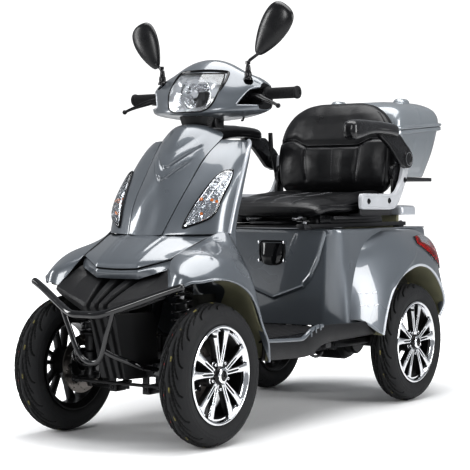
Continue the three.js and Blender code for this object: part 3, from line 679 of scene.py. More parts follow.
def loop_part(points, radius, ring=8):
    """An unfinished closed tube along a ring of points."""
    points = np.asarray(points, float)
    tangent = np.roll(points, -1, 0) - np.roll(points, 1, 0)
    tangent /= np.maximum(np.linalg.norm(tangent, axis=1, keepdims=True), 1e-6)
    middle = points.mean(0)
    side = points - middle
    side -= tangent * np.sum(side * tangent, axis=1, keepdims=True)
    side /= np.maximum(np.linalg.norm(side, axis=1, keepdims=True), 1e-6)
    rings = rings_about(points, side, np.cross(tangent, side), radius, ring)
    n = len(points)
    faces = []
    for i in range(n):
        for j in range(ring):
            k, m = (i + 1) % n, (j + 1) % ring
            faces.append((i * ring + j, i * ring + m, k * ring + m, k * ring + j))
    obj = new_object("loop", rings.reshape(-1, 3), faces)
    face_out(obj)
    return obj


def mirrored(points, side):
    """Points of the left side, or their mirror image for the right side."""
    return np.asarray(points, float) * [side, 1, 1]


# ---------------------------------------------------------------- wheels
TYRE_PROFILE = [
    [136, -30], [141, -33.5], [150, -40.5], [161, -45], [173, -46], [184, -43.5], [193, -38], [200, -28],
    [205, -15],
    [207, 0], [205, 15], [200, 28], [193, 38], [184, 43.5], [173, 46], [161, 45], [150, 40.5], [141, 33.5],
    [136, 30],
]
TREAD_PITCHES = 15
TREAD_RADIUS = 205
SHOULDER = 44  # distance from the centre line at which the main cuts end
SWEEP, SWEEP_POWER = 1.05, 2.4  # how far, in radians, and how sharply a main cut bends round the tyre
GROOVE_SHADE = 4.0  # cuts deeper than half of this, in millimetres, are darkened with painted shade
LINE_HALF = 1.5  # half the width of the coloured mark lines
ROUND = 600  # points round a tyre


def tread_cut(turn, across):
    """How deep the tread is cut, in millimetres, at an angle and a distance from the centre line."""
    pitch = 2 * math.pi / TREAD_PITCHES
    depth = np.zeros(np.broadcast(turn, across).shape)
    for side, shift in ((1, 0.0), (-1, 0.5)):
        s = across * side
        t = np.clip(s / SHOULDER, 0, 1)
        bend = SWEEP * (1 - t) ** SWEEP_POWER
        slope = SWEEP * SWEEP_POWER * (1 - t) ** (SWEEP_POWER - 1) / SHOULDER * TREAD_RADIUS
        long_cut = turn + bend + shift * pitch, 6.0, 9.5, (3, 8), (40, 47)
        short_cut = turn + bend * 0.9 + (shift + 0.52) * pitch, 4.6, 7.0, (12, 18), (30, 36)
        for angle, deepest, width, start, end in (long_cut, short_cut):
            offset = (angle + pitch / 2) % pitch - pitch / 2
            distance = offset * TREAD_RADIUS / np.sqrt(1 + slope**2)
            depth += deepest * groove(distance, width) * ramp(s, *start) * (1 - ramp(s, *end))
    return depth


def make_tyre(name, body, track, y):
    profile = np.array(TYRE_PROFILE, float)
    profile = spline_rows(len(profile), 5) @ profile
    length = np.concatenate([[0], np.cumsum(np.linalg.norm(np.diff(profile, axis=0), axis=1))])
    across = length - length[-1] / 2
    turn = around(ROUND)
    radius = np.broadcast_to(profile[:, 0:1], (len(profile), ROUND)).copy()
    sideways = np.broadcast_to(profile[:, 1:2], radius.shape).copy()
    cut = tread_cut(turn[None, :], across[:, None]) * ramp(radius, 186, 194)
    radius -= cut
    wall = np.abs(across)[:, None]
    raised = 0.9 * groove(wall - 66, 3.5) + 0.8 * groove(wall - 79, 2.5) + 0.5 * groove(wall - 56, 2)
    ticks = 0.7 * (np.cos(turn * 180) > 0)[None, :] * ramp(wall, 52.5, 53.5) * (1 - ramp(wall, 58.5, 59.5))
    sideways += np.sign(sideways) * (raised + ticks)
    points = np.stack([track + sideways, y + radius * np.cos(turn), HUB_Z + radius * np.sin(turn)], axis=2)
    inside = np.array([[134, 26], [134, 0], [134, -26]], float)
    inside_x = np.broadcast_to(track + inside[:, 1:2], (len(inside), ROUND))
    inside_y, inside_z = y + inside[:, 0:1] * np.cos(turn), HUB_Z + inside[:, 0:1] * np.sin(turn)
    points = np.concatenate([points, np.stack([inside_x, inside_y, inside_z], axis=2), points[:1]])
    obj = new_object(name, points.reshape(-1, 3), grid_faces(len(points), ROUND, True))
    face_out(obj)
    uncut = cut < 0.5
    marks = {
        "yellow_line": (np.abs(across - 5) < LINE_HALF)[:, None] * uncut,
        "red_line": (np.abs(across + 16) < LINE_HALF)[:, None] * uncut,
        # painted shade for the tread cuts
        "painted_tread_shade": cut / GROOVE_SHADE,
    }
    for mark, amount in marks.items():
        values = np.zeros((len(points), ROUND))
        values[: len(profile)] = amount
        mark_points(obj, mark, points, values)
    return finish_piece(obj, body, TYRE, (name,), 50)


def mark_points(obj, name, points, values):
    """Stores 1 on the vertices where a grid's values are over a half, and 0 on the others."""
    attribute = obj.data.attributes.new(name, "FLOAT", "POINT")
    marked = {tuple(np.round(p, 5)) for p in to_frame(points.reshape(-1, 3)[values.reshape(-1) > 0.5])}
    found = [1.0 if tuple(np.round(v.co, 5)) in marked else 0.0 for v in obj.data.vertices]
    attribute.data.foreach_set("value", found)


SPOKE_STATIONS = [  # distance from the hub, half width, half width of the groove, height out of the wheel
    [24, 8.0, 0.0, 33], [34, 7.0, 0.0, 34], [40, 6.8, 2.2, 34.5], [62, 7.2, 2.4, 35], [84, 8.2, 2.0, 36],
    [92, 8.8, 0.0, 36], [108, 10.0, 0.0, 36.5], [122, 11.5, 0.0, 37], [131, 14.0, 0.0, 38],
]


SPOKE_END = SPOKE_STATIONS[-1][0]
SPOKES = 10
SPOKE_SPREAD = math.radians(14.5)  # half the angle between the two spokes of a pair
SPOKE_LEAN = math.radians(7.5) / 4
LIP = [
    [141.5, 31], [142.5, 36], [142.5, 40], [140, 42], [137, 42.2], [134.5, 40.5], [133, 37], [131, 33],
    [128.5, 30],
    [127, 26], [125, 26], [125, 31], [141.5, 31],
]
BARREL = [
    [136, -34], [139, -36], [142.5, -38], [142.5, -41], [138, -42], [132, -38], [127, -30], [123, -26],
    [123, 24],
    [126.6, 28], [134, 30], [134, -30], [136, -34],
]
HUB = [[0, -30], [30, -30], [34, -22], [36, 0], [46, 16], [49, 22], [48, 27], [40, 30], [30, 31], [0, 31]]
CAP = [[0, 28], [27, 28], [27.5, 33], [25, 38], [22, 41], [19, 45], [15, 48], [10.5, 49.5], [10, 45], [0, 44]]
CAP_RING = [[17.5, 44], [21.5, 43], [22, 45.6], [19, 47.8], [15.6, 48.6], [14.5, 47.5], [17.5, 44]]
CAP_MIDDLE = [[0, 44.5], [9.6, 44.5], [9.6, 47.6], [8.6, 48.4], [4.4, 48.6], [4, 46.2], [0, 46.2]]
CAP_SCREW = [[0, -2], [4.4, -2], [4.4, 1.2], [3.6, 1.9], [0, 1.9]]
VALVE = [[0, -4], [4, -4], [4, 6], [3, 8], [3, 20], [4.2, 20], [4.2, 28], [0, 29]]


def round_hub(hub, angle, reach):
    """A place in a wheel's middle plane, at an angle and a distance from its hub."""
    return hub + np.array([0, math.cos(angle), math.sin(angle)]) * reach


def spoke_parts(hub, out, number):
    """The bright slotted face and the black web behind it of one spoke, unfinished."""
    pair_angle = (number // 2) * 2 * math.pi / 5 + math.pi / 2
    sign = 1 if number % 2 else -1
    leant = pair_angle + sign * SPOKE_SPREAD - sign * SPOKE_LEAN
    along = np.array([0, math.cos(leant), math.sin(leant)])
    across = np.cross(out, along)
    shift = -across * sign * 3.0
    grid, rings = [], []
    for reach, half, slot_half, height in SPOKE_STATIONS:
        middle = hub + along * reach + out * height + shift * (1 - reach / SPOKE_END)
        grid.append([middle + across * side for side in (-half, -slot_half, slot_half, half)])
        base = hub + along * reach + shift * (1 - reach / SPOKE_END)
        top, low = base + out * (height - 2), base + out * (height - 22)
        wide, narrow = across * (half + 0.6), across * half * 0.6
        rings.append([top - wide, top + wide, low + narrow, low - narrow])
    quads = []
    for r in range(len(grid) - 1):
        for c in range(3):
            slotted = SPOKE_STATIONS[r][2] > 0 or SPOKE_STATIONS[r + 1][2] > 0
            if c == 1 and slotted:
                continue
            quads.append((r * 4 + c, r * 4 + c + 1, r * 4 + c + 5, r * 4 + c + 4))
    face = new_object("face", np.array(grid).reshape(-1, 3), quads)
    face_out(face)
    aim_normals(face, hub - out * 300)
    modify(face, "SOLIDIFY", thickness=3.2 * MM, offset=0)
    round_edges(face, 0.7, 50)
    web = round_edges(capped("web", np.array(rings)), 1.2, 40)
    return face, web


def make_rim(name, body, track, y, side):
    hub = np.array([track, y, HUB_Z])
    out = np.array([side, 0, 0.0])
    merge(name + "_lip", [turned_part(LIP, hub, out, 96)], body, CHROME, (name,), 40)
    barrel = [turned_part(BARREL, hub, out, 96), turned_part(HUB, hub, out, 48)]
    faces = []
    for number in range(SPOKES):
        face, web = spoke_parts(hub, out, number)
        faces.append(face)
        barrel.append(web)
    merge(name + "_barrel", barrel, body, BLACK_STEEL, (name,), 40)
    merge(name + "_spoke_faces", faces, body, CHROME, (name,), 40)
    bright = [turned_part(CAP_RING, hub, out, 48)]
    for i in range(5):
        spot = round_hub(hub, i * 2 * math.pi / 5 - math.pi / 2, 40) + out * 28
        bright.append(bolt_part(spot, out, 5.2, 9))
    merge(name + "_cap", bright, body, CHROME, (name,), 40)
    plug = [turned_part(CAP_MIDDLE, hub, out, 32), turned_part(CAP, hub, out, 48)]
    for angle in (0.5, 2.6, 4.7):
        plug.append(turned_part(CAP_SCREW, round_hub(hub, angle, 19.6) + out * 43.6, out, 16))
    plug.append(turned_part(VALVE, round_hub(hub, 1.9, 121) + out * 20, out, 16))
    merge(name + "_plug", plug, body, FINE_BLACK, (name,), 40)


DISC_X = 209
DISC_RING = [[56, -2], [56, 2], [58, 2.2], [86, 2.2], [88, 2], [88, -2], [86, -2.2], [58, -2.2], [56, -2]]
DISC_CARRIER = [[20, -3], [20, 34], [30, 34], [34, 4], [50, 2], [50, -3], [20, -3]]


def make_disc(name, body, y, side):
    """A drilled brake disc with its carrier."""
    hub = np.array([DISC_X * side, y, HUB_Z])
    out = np.array([side, 0, 0.0])
    disc = turned_part(DISC_RING, hub, out, 90)
    drills = []
    for i in range(30):
        spot = round_hub(hub, i * 2 * math.pi / 30, (64, 72, 80)[i % 3])
        drills.append(turned_part([[0, -6], [2.6, -6], [2.6, 6], [0, 6]], spot, out, 10))
    without(disc, joined("drills", drills))
    finish_piece(disc, body, DISC_STEEL, (), 40)
    disc.name = name + "_brake_disc"
    carrier = [turned_part(DISC_CARRIER, hub, out, 40)]
    for i in range(6):
        spot = round_hub(hub, i * 2 * math.pi / 6, 57)
        carrier.append(turned_part([[0, -3.4], [7, -3.4], [7, 3.4], [0, 3.4]], spot, out, 16))
    merge(name + "_disc_carrier", carrier, body, BLACK_STEEL, (), 40)


for word, sign in SIDES.items():
    make_tyre(f"front_tyre_{word}", f"front_wheel_{word}", FRONT_X * sign, -HALF_BASE)
    make_tyre(f"rear_tyre_{word}", f"rear_wheel_{word}", REAR_X * sign, HALF_BASE)
    make_rim(f"front_rim_{word}", f"front_wheel_{word}", FRONT_X * sign, -HALF_BASE, sign)
    make_rim(f"rear_rim_{word}", f"rear_wheel_{word}", REAR_X * sign, HALF_BASE, sign)
    make_disc(f"front_{word}", f"front_wheel_{word}", -HALF_BASE, sign)


# ---------------------------------------------------------------- front bodywork
APRON_SEAM = [[61, -538, 603], [81, -488, 690], [90, -425, 770], [99, -365, 840], [113, -304, 892]]
APRON_CENTRE = both_sides([
    [[0, -541, 600], [32, -541, 600], APRON_SEAM[0]],
    [[0, -499, 690], [44, -498, 690], APRON_SEAM[1]],
    [[0, -457, 772], [50, -446, 771], APRON_SEAM[2]],
    [[0, -413, 848], [56, -394, 844], APRON_SEAM[3]],
    [[0, -369, 905], [62, -346, 901], APRON_SEAM[4]],
    [[0, -338, 933], [56, -320, 929], [105, -284, 912]],
    [[0, -316, 941], [50, -304, 936], [92, -276, 918]],
])
APRON_SIDE = [
    [[64, -538, 602], [140, -508, 604], [196, -461, 605], [214, -412, 606]],
    [[84, -488, 690], [148, -466, 690], [198, -430, 690], [212, -380, 690]],
    [[93, -425, 770], [150, -408, 770], [190, -377, 770], [207, -338, 770]],
    [[102, -365, 840], [150, -348, 840], [181, -324, 840], [198, -294, 840]],
    [[116, -304, 892], [146, -292, 890], [170, -276, 886], [184, -258, 880]],
]
HOOD = both_sides([
    [[0, -676, 507], [76, -676, 510], [163, -622, 539]],
    [[0, -662, 530], [78, -659, 533], [167, -600, 549]],
    [[0, -612, 567], [84, -604, 567], [178, -538, 573]],
    [[0, -562, 593], [92, -550, 593], [190, -482, 595]],
    [[0, -540, 600], [96, -524, 600], [198, -450, 602]],
])
NOSE_BAND = both_sides([
    [[0, -671, 502], [75, -671, 505], [162, -617, 534]],
    [[0, -674, 492], [76, -674, 495], [166, -624, 524]],
    [[0, -667, 476], [78, -668, 477], [160, -636, 506]],
])
FRONT_FENDER = [
    [[205, -696, 452], [222, -700, 458], [240, -698, 461], [251, -693, 460]],
    [[180, -664, 496], [214, -682, 496], [246, -684, 492], [272, -673, 474]],
    [[168, -620, 541], [214, -648, 524], [262, -654, 504], [292, -646, 476]],
    [[182, -536, 575], [238, -566, 557], [290, -574, 529], [319, -577, 480]],
    [[200, -464, 604], [246, -478, 567], [298, -476, 521], [323, -453, 431]],
    [[222, -412, 600], [256, -412, 549], [298, -404, 461], [322, -390, 338]],
    [[232, -374, 520], [260, -372, 440], [297, -364, 340], [320, -356, 286]],
    [[240, -366, 480], [264, -362, 400], [298, -356, 290], [320, -349, 224]],
]
FENDER_LIP = [row[-1] for row in FRONT_FENDER]


def make_apron():
    points = surface(APRON_CENTRE, 34, 24)
    x, z = np.abs(points[..., 0]), points[..., 2]
    rise = 80 * (np.sqrt((x / 80) ** 2 + 0.02) - 0.141)
    steep = 0.66
    for apex, reach in ((806, 84), (771, 76)):
        distance = (z - apex - rise) * steep
        fade = 1 - ramp(x, reach * 0.72, reach)
        depth = 6.5 * ramp(distance, -1.6, 1.6) * (1 - ramp(distance, 3, 30)) - 3.5 * groove(distance + 5, 8)
        points[..., 1] -= depth * fade
    shell("front_apron", points, "root", GREY, 4, ("front_apron",), inside=(0, -200, 700))
    for word, side in SIDES.items():
        panel = surface(mirrored(APRON_SIDE, side), 14, 12)
        shell(f"apron_side_{word}", panel, "root", GREY, 4, (f"apron_side_{word}",),
              inside=(0, -200, 700))
        make_indicator(word, side, panel)
    backing = surface(APRON_CENTRE, 6, 4) + [0, 7, -3]
    backing = backing[backing[..., 2].mean(axis=1) < 850]
    shell("apron_backing", backing * [1.04, 1, 1], "root", GAP_BLACK, 2, edge=0, inside=(0, -200, 700))


INDICATOR_INNER = [[119, 0, 624], [124, 0, 650], [137, 0, 696], [150, 0, 738], [163, 0, 774], [178, 0, 792]]
INDICATOR_OUTER = [[121, 0, 622], [160, 0, 638], [188, 0, 658], [196, 0, 700], [196, 0, 760], [190, 0, 794]]


def make_indicator(word, side, panel):
    """A clear leaf-shaped lens over a patterned reflector, with a dark rim, standing proud of the panel."""
    ground = Ground(panel, (0, 1, 0))
    flat = between(mirrored(INDICATOR_INNER, side), mirrored(INDICATOR_OUTER, side), 61, 14)
    rows, columns = flat.shape[:2]
    u = np.linspace(0, 1, rows)[:, None]
    v = np.linspace(0, 1, columns)[None, :]
    dome = (1 - np.abs(2 * v - 1) ** 3.5) * (1 - np.abs(2 * u - 1) ** 6)
    base = ground.drape(flat, 1.2)
    cells = 2.4 * np.abs(np.sin(u * 22)) * np.abs(np.sin(v * 11))
    pressed = ground.drape(flat, 1.5 + cells * dome)
    solid_sheet(f"indicator_reflector_{word}", pressed, base - [0, -4, 0], "root", PATTERNED)
    inner = ground.drape(flat, 5.0 + 4.0 * dome)
    outer = ground.drape(flat, 6.6 + 6.0 * dome)
    solid_sheet(f"indicator_{word}", outer, inner, "root", CLEAR, (f"indicator_{word}",))
    edge = ground.drape(rim_of(flat), 3.2)
    rim = loop_part(edge, 3.3, 10)
    merge(f"indicator_rim_{word}", [rim], "root", FINE_BLACK)
    bright = loop_part(ground.drape(rim_of(flat[4:-4, 4:-4]), 4.2), 1.3, 8)
    line = [(131, 0, 640), (160, 0, 700), (181, 0, 770)]
    divider = tube_part([ground.at(Vector(mirrored(p, side)), 3.0) for p in line], 2.2)
    merge(f"indicator_frame_{word}", [bright, divider], "root", CHROME, ())
    bulbs = []
    for x, z, size in ((148, 706, 6.5), (176, 704, 5.0), (188, 700, 4.5), (160, 664, 5.0)):
        spot = ground.at(Vector((x * side, 0, z)), 2.0)
        bulbs.append(turned_part([[0, -2], [size, -2], [size, 1], [size * 0.7, 2.6], [0, 3.2]], spot,
                                 (0.25 * side, -1, 0.3), 14))
    merge(f"indicator_bulbs_{word}", bulbs, "root", AMBER)


def solid_sheet(name, front, back, body, material, stands_for=(), angle=32):
    """A closed body between two dense grids of points of the same size."""
    rows, columns = front.shape[:2]
    count = rows * columns
    faces = grid_faces(rows, columns)
    faces += [tuple(i + count for i in face[::-1]) for face in faces]
    edge = [r * columns + c for r, c in edge_indices(rows, columns)]
    for a, b in zip(edge, edge[1:] + edge[:1]):
        faces.append((a, b, b + count, a + count))
    obj = new_object(name, np.concatenate([front.reshape(-1, 3), back.reshape(-1, 3)]), faces)
    face_out(obj)
    return finish_piece(obj, body, material, stands_for, angle)


def edge_indices(rows, columns):
    top = [(0, c) for c in range(columns - 1)]
    right = [(r, columns - 1) for r in range(rows - 1)]
    bottom = [(rows - 1, c) for c in range(columns - 1, 0, -1)]
    left = [(r, 0) for r in range(rows - 1, 0, -1)]
    return top + right + bottom + left


def make_leg_shield():
    rows = both_sides([
        [[0, -330, 288], [190, -332, 288], [236, -345, 288]],
        [[0, -345, 420], [185, -345, 420], [226, -352, 420]],
        [[0, -352, 520], [185, -352, 520], [216, -362, 510]],
        [[0, -350, 606], [185, -352, 606], [214, -402, 606]],
        [[0, -325, 690], [184, -330, 690], [212, -371, 690]],
        [[0, -292, 770], [180, -298, 770], [207, -330, 770]],
        [[0, -262, 840], [172, -264, 840], [198, -286, 840]],
        [[0, -236, 889], [160, -238, 889], [185, -250, 881]],
    ])
    points = surface(rows, 8, 12)
    x, z = np.abs(points[..., 0]), points[..., 2]
    pocket = ramp(z, 640, 655) * (1 - ramp(z, 800, 815)) * (1 - ramp(x, 118, 130))
    points[..., 1] -= 16 * pocket
    shell("leg_shield", points, "root", GREY, 4, ("leg_shield",), inside=(0, -500, 600),
          edge=1.5)
    for word, side in SIDES.items():
        # a pale tube along each side edge of the apron: a painted highlight for the light caught on the
        # rounded edge
        path = [[214, -407, 606], [212, -375, 690], [207, -334, 770], [198, -290, 840], [188, -258, 876],
                [176, -246, 888]]
        strip = tube_part(mirrored(path, side), 6.5, 10, 14)
        merge(f"apron_edge_highlight_{word}", [strip], "root", PALE, ())
        path = [[236, -347, 290], [228, -352, 400], [219, -360, 500], [214, -384, 572], [214, -405, 604]]
        low = tube_part(mirrored(path, side), 5, 8, 12)
        merge(f"shield_edge_{word}", [low], "root", GREY)


def make_toe_guard():
    """Black splash panel under the leg shield, between the front wheels."""
    panel = box_part((-236, -324, 214), (236, -319, 292), 2)
    ribs = [box_part((x - 3, -326, 220), (x + 3, -322, 288), 1.2) for x in range(-210, 211, 35)]
    merge("toe_guard", [panel, *ribs], "root", BLACK)


def make_hood():
    points = surface(HOOD, 12, 14, (), (1, 3))
    x = np.abs(points[..., 0])
    y = points[..., 1]
    points[..., 2] += 3.0 * groove(x - 52 - (y + 676) * 0.12, 22) * ramp(y, -660, -600)
    shell("hood", points, "root", GREY, 5, ("hood",), inside=(0, -560, 400), edge=1.6)
    band = surface(NOSE_BAND, 8, 14, (), (1, 3))
    shell("nose_band", band, "root", GREY, 5, (), inside=(0, -500, 480), edge=1.4)
    backing = surface(both_sides([
        [[0, -666, 510], [73, -666, 513], [158, -614, 542]],
        [[0, -664, 480], [75, -664, 484], [158, -616, 520]],
    ]), 4, 8, (), (1, 3))
    shell("nose_gap", backing, "root", GAP_BLACK, 2, edge=0, inside=(0, -500, 480))
    for word, side in SIDES.items():
        fender = surface(mirrored(FRONT_FENDER, side), 12, 12)
        shell(f"front_fender_{word}", fender, "root", GREY, 4, (f"front_fender_{word}",),
              inside=(200 * side, -540, 400), edge=1.6)
        lip = np.array(FENDER_LIP, float)
        tube = tube_part(mirrored(lip + [-1.5, 0, 0], side), 4.4, 12, 12)
        merge(f"fender_lip_{word}", [tube], "root", GREY)
        seam = [[163, -624, 536], [178, -541, 571], [191, -484, 592], [199, -452, 600]]
        merge(f"hood_seam_{word}", [tube_part(mirrored(seam, side), 3.2, 8, 10)], "root", GAP_BLACK)
        make_front_liner(word, side)


def make_front_liner(word, side):
    """The lining of the wheel arch, clear of the wheel at full lock."""
    edges = np.array([
        [[212, -668, 440], [236, -690, 455]],
        [[208, -640, 462], [262, -656, 488]],
        [[208, -580, 472], [300, -590, 492]],
        [[210, -500, 470], [312, -512, 478]],
        [[206, -420, 442], [314, -444, 428]],
        [[150, -360, 390], [312, -388, 338]],
        [[122, -336, 330], [312, -352, 300]],
        [[118, -316, 250], [314, -342, 224]],
    ], float)
    middle = edges.mean(axis=1) + [0, 2, 2]
    points = surface(mirrored(np.stack([edges[:, 0], middle, edges[:, 1]], axis=1), side), 7, 8)
    shell(f"front_liner_{word}", points, "root", LINER, 2.5, (), edge=0.8,
          inside=(200 * side, -640, 250))


RIB_LINES = ((-36, -13), (-4, 10), (28, 33))  # where each rib groove starts and how far it spreads
BAR = 11  # radius of the bumper's tube


def make_snout():
    """Black nose panel with three ribs that run on down the skirt below it."""
    rows = both_sides([
        [[0, -640, 484], [51, -640, 484], [126, -618, 500], [158, -626, 516]],
        [[0, -662, 472], [51, -662, 472], [132, -640, 487], [168, -648, 503]],
        [[0, -712, 443], [51, -712, 443], [134, -684, 462], [192, -676, 474]],
        [[0, -756, 410], [51, -755, 411], [128, -727, 430], [204, -703, 449]],
        [[0, -760, 400], [51, -759, 401], [127, -731, 420], [204, -706, 441]],
        [[0, -752, 378], [50, -752, 379], [118, -722, 398], [196, -700, 428]],
    ])
    points = surface(rows, 12, 40, (1, 3, 4), (1, 2, 4, 5))
    x = points[..., 0]
    y, z = points[..., 1].copy(), points[..., 2].copy()
    back = np.clip((y + 757) / 93, 0, 1.3)
    cut = np.zeros_like(x)
    for line, spread in RIB_LINES:
        cut = np.maximum(cut, np.minimum(1, 1.8 * groove(x - line - spread * back, 19 + 12 * back)))
    points[..., 1] += 9 * cut
    points[..., 2] -= 14 * cut * ramp(z, 375, 398)
    shell("nose_snout", points, "root", BLACK, 6, ("nose_snout",), inside=(0, -600, 400),
          edge=1.4)
    grid = []
    levels = [
        (380, -741, -700, -600, 48), (330, -727, -690, -585, 47), (250, -706, -674, -575, 46),
        (188, -690, -662, -570, 45),
    ]
    for z, front, side_y, back, half in levels:
        grid.append([
            [0, front - 3, z], [half * 0.6, front - 2, z], [half, front, z], [half + 12, side_y - 6, z],
            [half + 22, side_y + 30, z], [half + 30, back, z],
        ])
    points = surface(both_sides(grid), 12, 24, (), (3, 7))
    x, down = points[..., 0].copy(), (380 - points[..., 2]) / 190
    for line, spread in zip((-36, -4, 28), (20, 16, 8)):
        cut = np.minimum(1, 1.8 * groove(x - line - spread * down, 17))
        points[..., 1] += 10 * cut * ramp(-points[..., 1], 664, 684)
    shell("nose_skirt", points, "root", BLACK, 4, ("nose_skirt",), inside=(0, -560, 280),
          edge=1.2)


def make_bumper():
    upper = [[-271, -724, 463], [-215, -746, 443], [-110, -792, 402], [-52, -815, 383], [-20, -816, 381],
             [0, -816, 381]]
    right = [[-x, y, z] for x, y, z in upper[-2::-1]]
    parts = [tube_part(upper + right, BAR, 10, 20)]
    leg = [[-92, -802, 392], [-80, -800, 360], [-66, -798, 326], [-52, -794, 288], [-34, -789, 258],
           [-14, -786, 245], [0, -786, 243]]
    loop = leg + [[-x, y, z] for x, y, z in leg[-2::-1]]
    parts.append(tube_part(loop, 8.4, 8, 16))
    for side in (-1, 1):
        arm = [[44, -793, 285], [68, -778, 268], [96, -748, 250], [112, -712, 234], [114, -680, 224],
               [114, -627, 216]]
        parts.append(tube_part(mirrored(arm, side), 8, 8, 16))
        parts.append(ball_part([-upper[0][0] * side, *upper[0][1:]], BAR))
        parts.append(box_part([side * 114 - 13, -632, 196], [side * 114 + 13, -618, 234], 2))
    merge("bumper_bar", parts, "root", BAR_BLACK, ("bumper_bar",))


def ball_part(middle, radius, squash=(1, 1, 1)):
    """An unfinished ball, squashed along the axes."""
    profile = [[radius * math.sin(t), -radius * math.cos(t)] for t in np.linspace(0, math.pi, 13)]
    part = turned_part(profile, (0, 0, 0), (0, 0, 1), 20)
    offset = Vector(frame_point((0, 0, 0)))
    target = Vector(frame_point(middle))
    for v in part.data.vertices:
        local = v.co - offset
        v.co = Vector((local.x * squash[0], local.y * squash[1], local.z * squash[2])) + target
    return part


make_apron()
make_leg_shield()
make_toe_guard()
make_hood()
make_snout()
make_bumper()


# ---------------------------------------------------------------- handlebar and headlight
NACELLE = [
    [0, [[-318, 971], [-322, 998], [-306, 1050], [-264, 1108], [-215, 1147], [-160, 1138], [-118, 1088],
         [-108, 1020], [-140, 965], [-230, 955]]],
    [70, [[-312, 972], [-314, 998], [-299, 1046], [-260, 1098], [-215, 1134], [-163, 1126], [-122, 1082],
          [-112, 1020], [-142, 967], [-228, 958]]],
    [130, [[-290, 975], [-293, 1000], [-277, 1040], [-247, 1078], [-214, 1105], [-172, 1100], [-136, 1070],
           [-126, 1020], [-147, 973], [-220, 965]]],
    [180, [[-251, 980], [-258, 1002], [-252, 1036], [-236, 1064], [-210, 1084], [-175, 1082], [-150, 1062],
           [-141, 1022], [-153, 984], [-201, 974]]],
    [204, [[-226, 985], [-233, 1004], [-231, 1031], [-223, 1053], [-207, 1068], [-179, 1068], [-160, 1056],
           [-152, 1024], [-158, 993], [-190, 983]]],
]
SPLIT_Y = -166
HEADLIGHT_LEFT = [[-48, 0, 978], [-76, 0, 990], [-90, 0, 1026], [-90, 0, 1064], [-74, 0, 1101]]
HEADLIGHT_RIGHT = [[48, 0, 978], [76, 0, 990], [93, 0, 1026], [98, 0, 1064], [90, 0, 1098]]
BAR_Y, BAR_Z = -186, 1035
BOWL_MIDDLE = (-12.0, 1038.0)  # x and z of the headlight's bowl
BOWL_HALF_WIDTH, BOWL_HALF_HEIGHT = 58, 52
BOWL_Y = -262


def nacelle_points(inset=0.0):
    """The handlebar cover's outside as a dense grid, or a form smaller than it by the inset."""
    rows = []
    for x, loop in [*[(-x, loop) for x, loop in NACELLE[:0:-1]], *NACELLE]:
        loop = np.array(loop, float)
        middle = loop.mean(0)
        away = loop - middle
        away *= 1 - inset / np.linalg.norm(away, axis=1, keepdims=True)
        rows.append([[x, *(middle + p)] for p in away])
    return surface(rows, 12, 8, closed=True)


def prism(outline, low, high, axis):
    """A closed block: an outline in the two other axes, from low to high along the axis."""
    outline = np.array(outline, float)
    order = [k for k in range(3) if k != axis]
    rings = []
    for level in (low, high):
        ring = np.zeros((len(outline), 3))
        ring[:, order] = outline
        ring[:, axis] = level
        rings.append(ring)
    return capped("prism", np.array(rings))


def headlight_outline(grow):
    """The headlight's outline seen from the front, larger by `grow` all round."""
    left = spline_rows(5, 8) @ np.array(HEADLIGHT_LEFT, float)
    right = spline_rows(5, 8) @ np.array(HEADLIGHT_RIGHT, float)
    loop = np.concatenate([left, right[::-1]])[:, [0, 2]]
    middle = loop.mean(0)
    away = loop - middle
    return middle + away * (1 + grow / np.linalg.norm(away, axis=1, keepdims=True))


def tube_shell(name, points, thickness):
    """An unfinished open tube of a surface closed one way, given a thickness inwards."""
    obj = new_object(name, points.reshape(-1, 3), grid_faces(*points.shape[:2], True))
    face_out(obj)
    aim_normals(obj, points.reshape(-1, 3).mean(0))
    modify(obj, "SOLIDIFY", thickness=thickness * MM, offset=-1, use_even_offset=False)
    return bake(obj)


def make_nacelle():
    outer = nacelle_points()
    front = tube_shell("nacelle_front", outer, 4)
    window = prism(headlight_outline(0.5), -420, -214, 1)
    turn = np.arange(20) * math.pi / 10
    neck = prism([[math.cos(t) * 36, -262 + math.sin(t) * 36] for t in turn], 930, 985, 2)
    behind = box_part((-400, SPLIT_Y - 0.8, 900), (400, 0, 1200), 0)
    slots, sockets = [], []
    for s in (1, -1):
        slots.append(prism([[152 * s, 997], [176 * s, 1043], [230 * s, 1060], [230 * s, 997]], -330, -192, 1))
        socket = [[(166 + math.cos(t) * 17) * s, -233 + math.sin(t) * 11] for t in turn]
        sockets.append(prism(socket, 1060, 1130, 2))
    without(front, window, neck, behind, *slots, *sockets)
    round_edges(front, 1.0, 55)
    finish_piece(front, "steering", GREY, ("nacelle_front",))
    rear = tube_shell("nacelle_rear", outer, 4)
    ahead = box_part((-400, -500, 900), (400, SPLIT_Y + 0.8, 1200), 0)
    without(rear, ahead)
    round_edges(rear, 1.0, 55)
    finish_piece(rear, "steering", BLACK, ("nacelle_rear",))
    for word, side in SIDES.items():
        inner = nacelle_points(4.6)
        count = inner.shape[0]
        half = inner[count // 2 + 30 :] if side > 0 else inner[: count // 2 - 29]
        half = half * [0.985, 1, 1]
        block = capped("inner", half)
        pocket = prism([[150 * side, 1000], [174 * side, 1041], [230 * side, 1056], [230 * side, 1000]],
                       -330, -206, 1)
        without(block, pocket)
        finish_piece(block, "steering", FINE_BLACK)
        block.name = f"nacelle_core_{word}"
        trim = [[152, -287, 1000], [165, -268, 1024], [178, -252, 1043], [190, -240, 1052], [203, -230, 1055]]
        ground = Ground(outer, (0, 1, 0), True)
        draped = [tuple(ground.at(Vector((x * side, y, z)), 0.6)) for x, y, z in trim]
        low = [tuple(ground.at(Vector((x * side, -300, 997)), 0.6)) for x in (154, 170, 186, 201)]
        merge(f"nacelle_trim_{word}", [tube_part(draped, 1.7, 8, 8), tube_part(low, 1.7, 8, 8)],
              "steering", PALE, ())
        switch = [box_part((108 * side - 12, -132, 1066), (108 * side + 12, -112, 1092), 4)]
        merge(f"switch_pod_{word}", switch, "steering", FINE_BLACK)


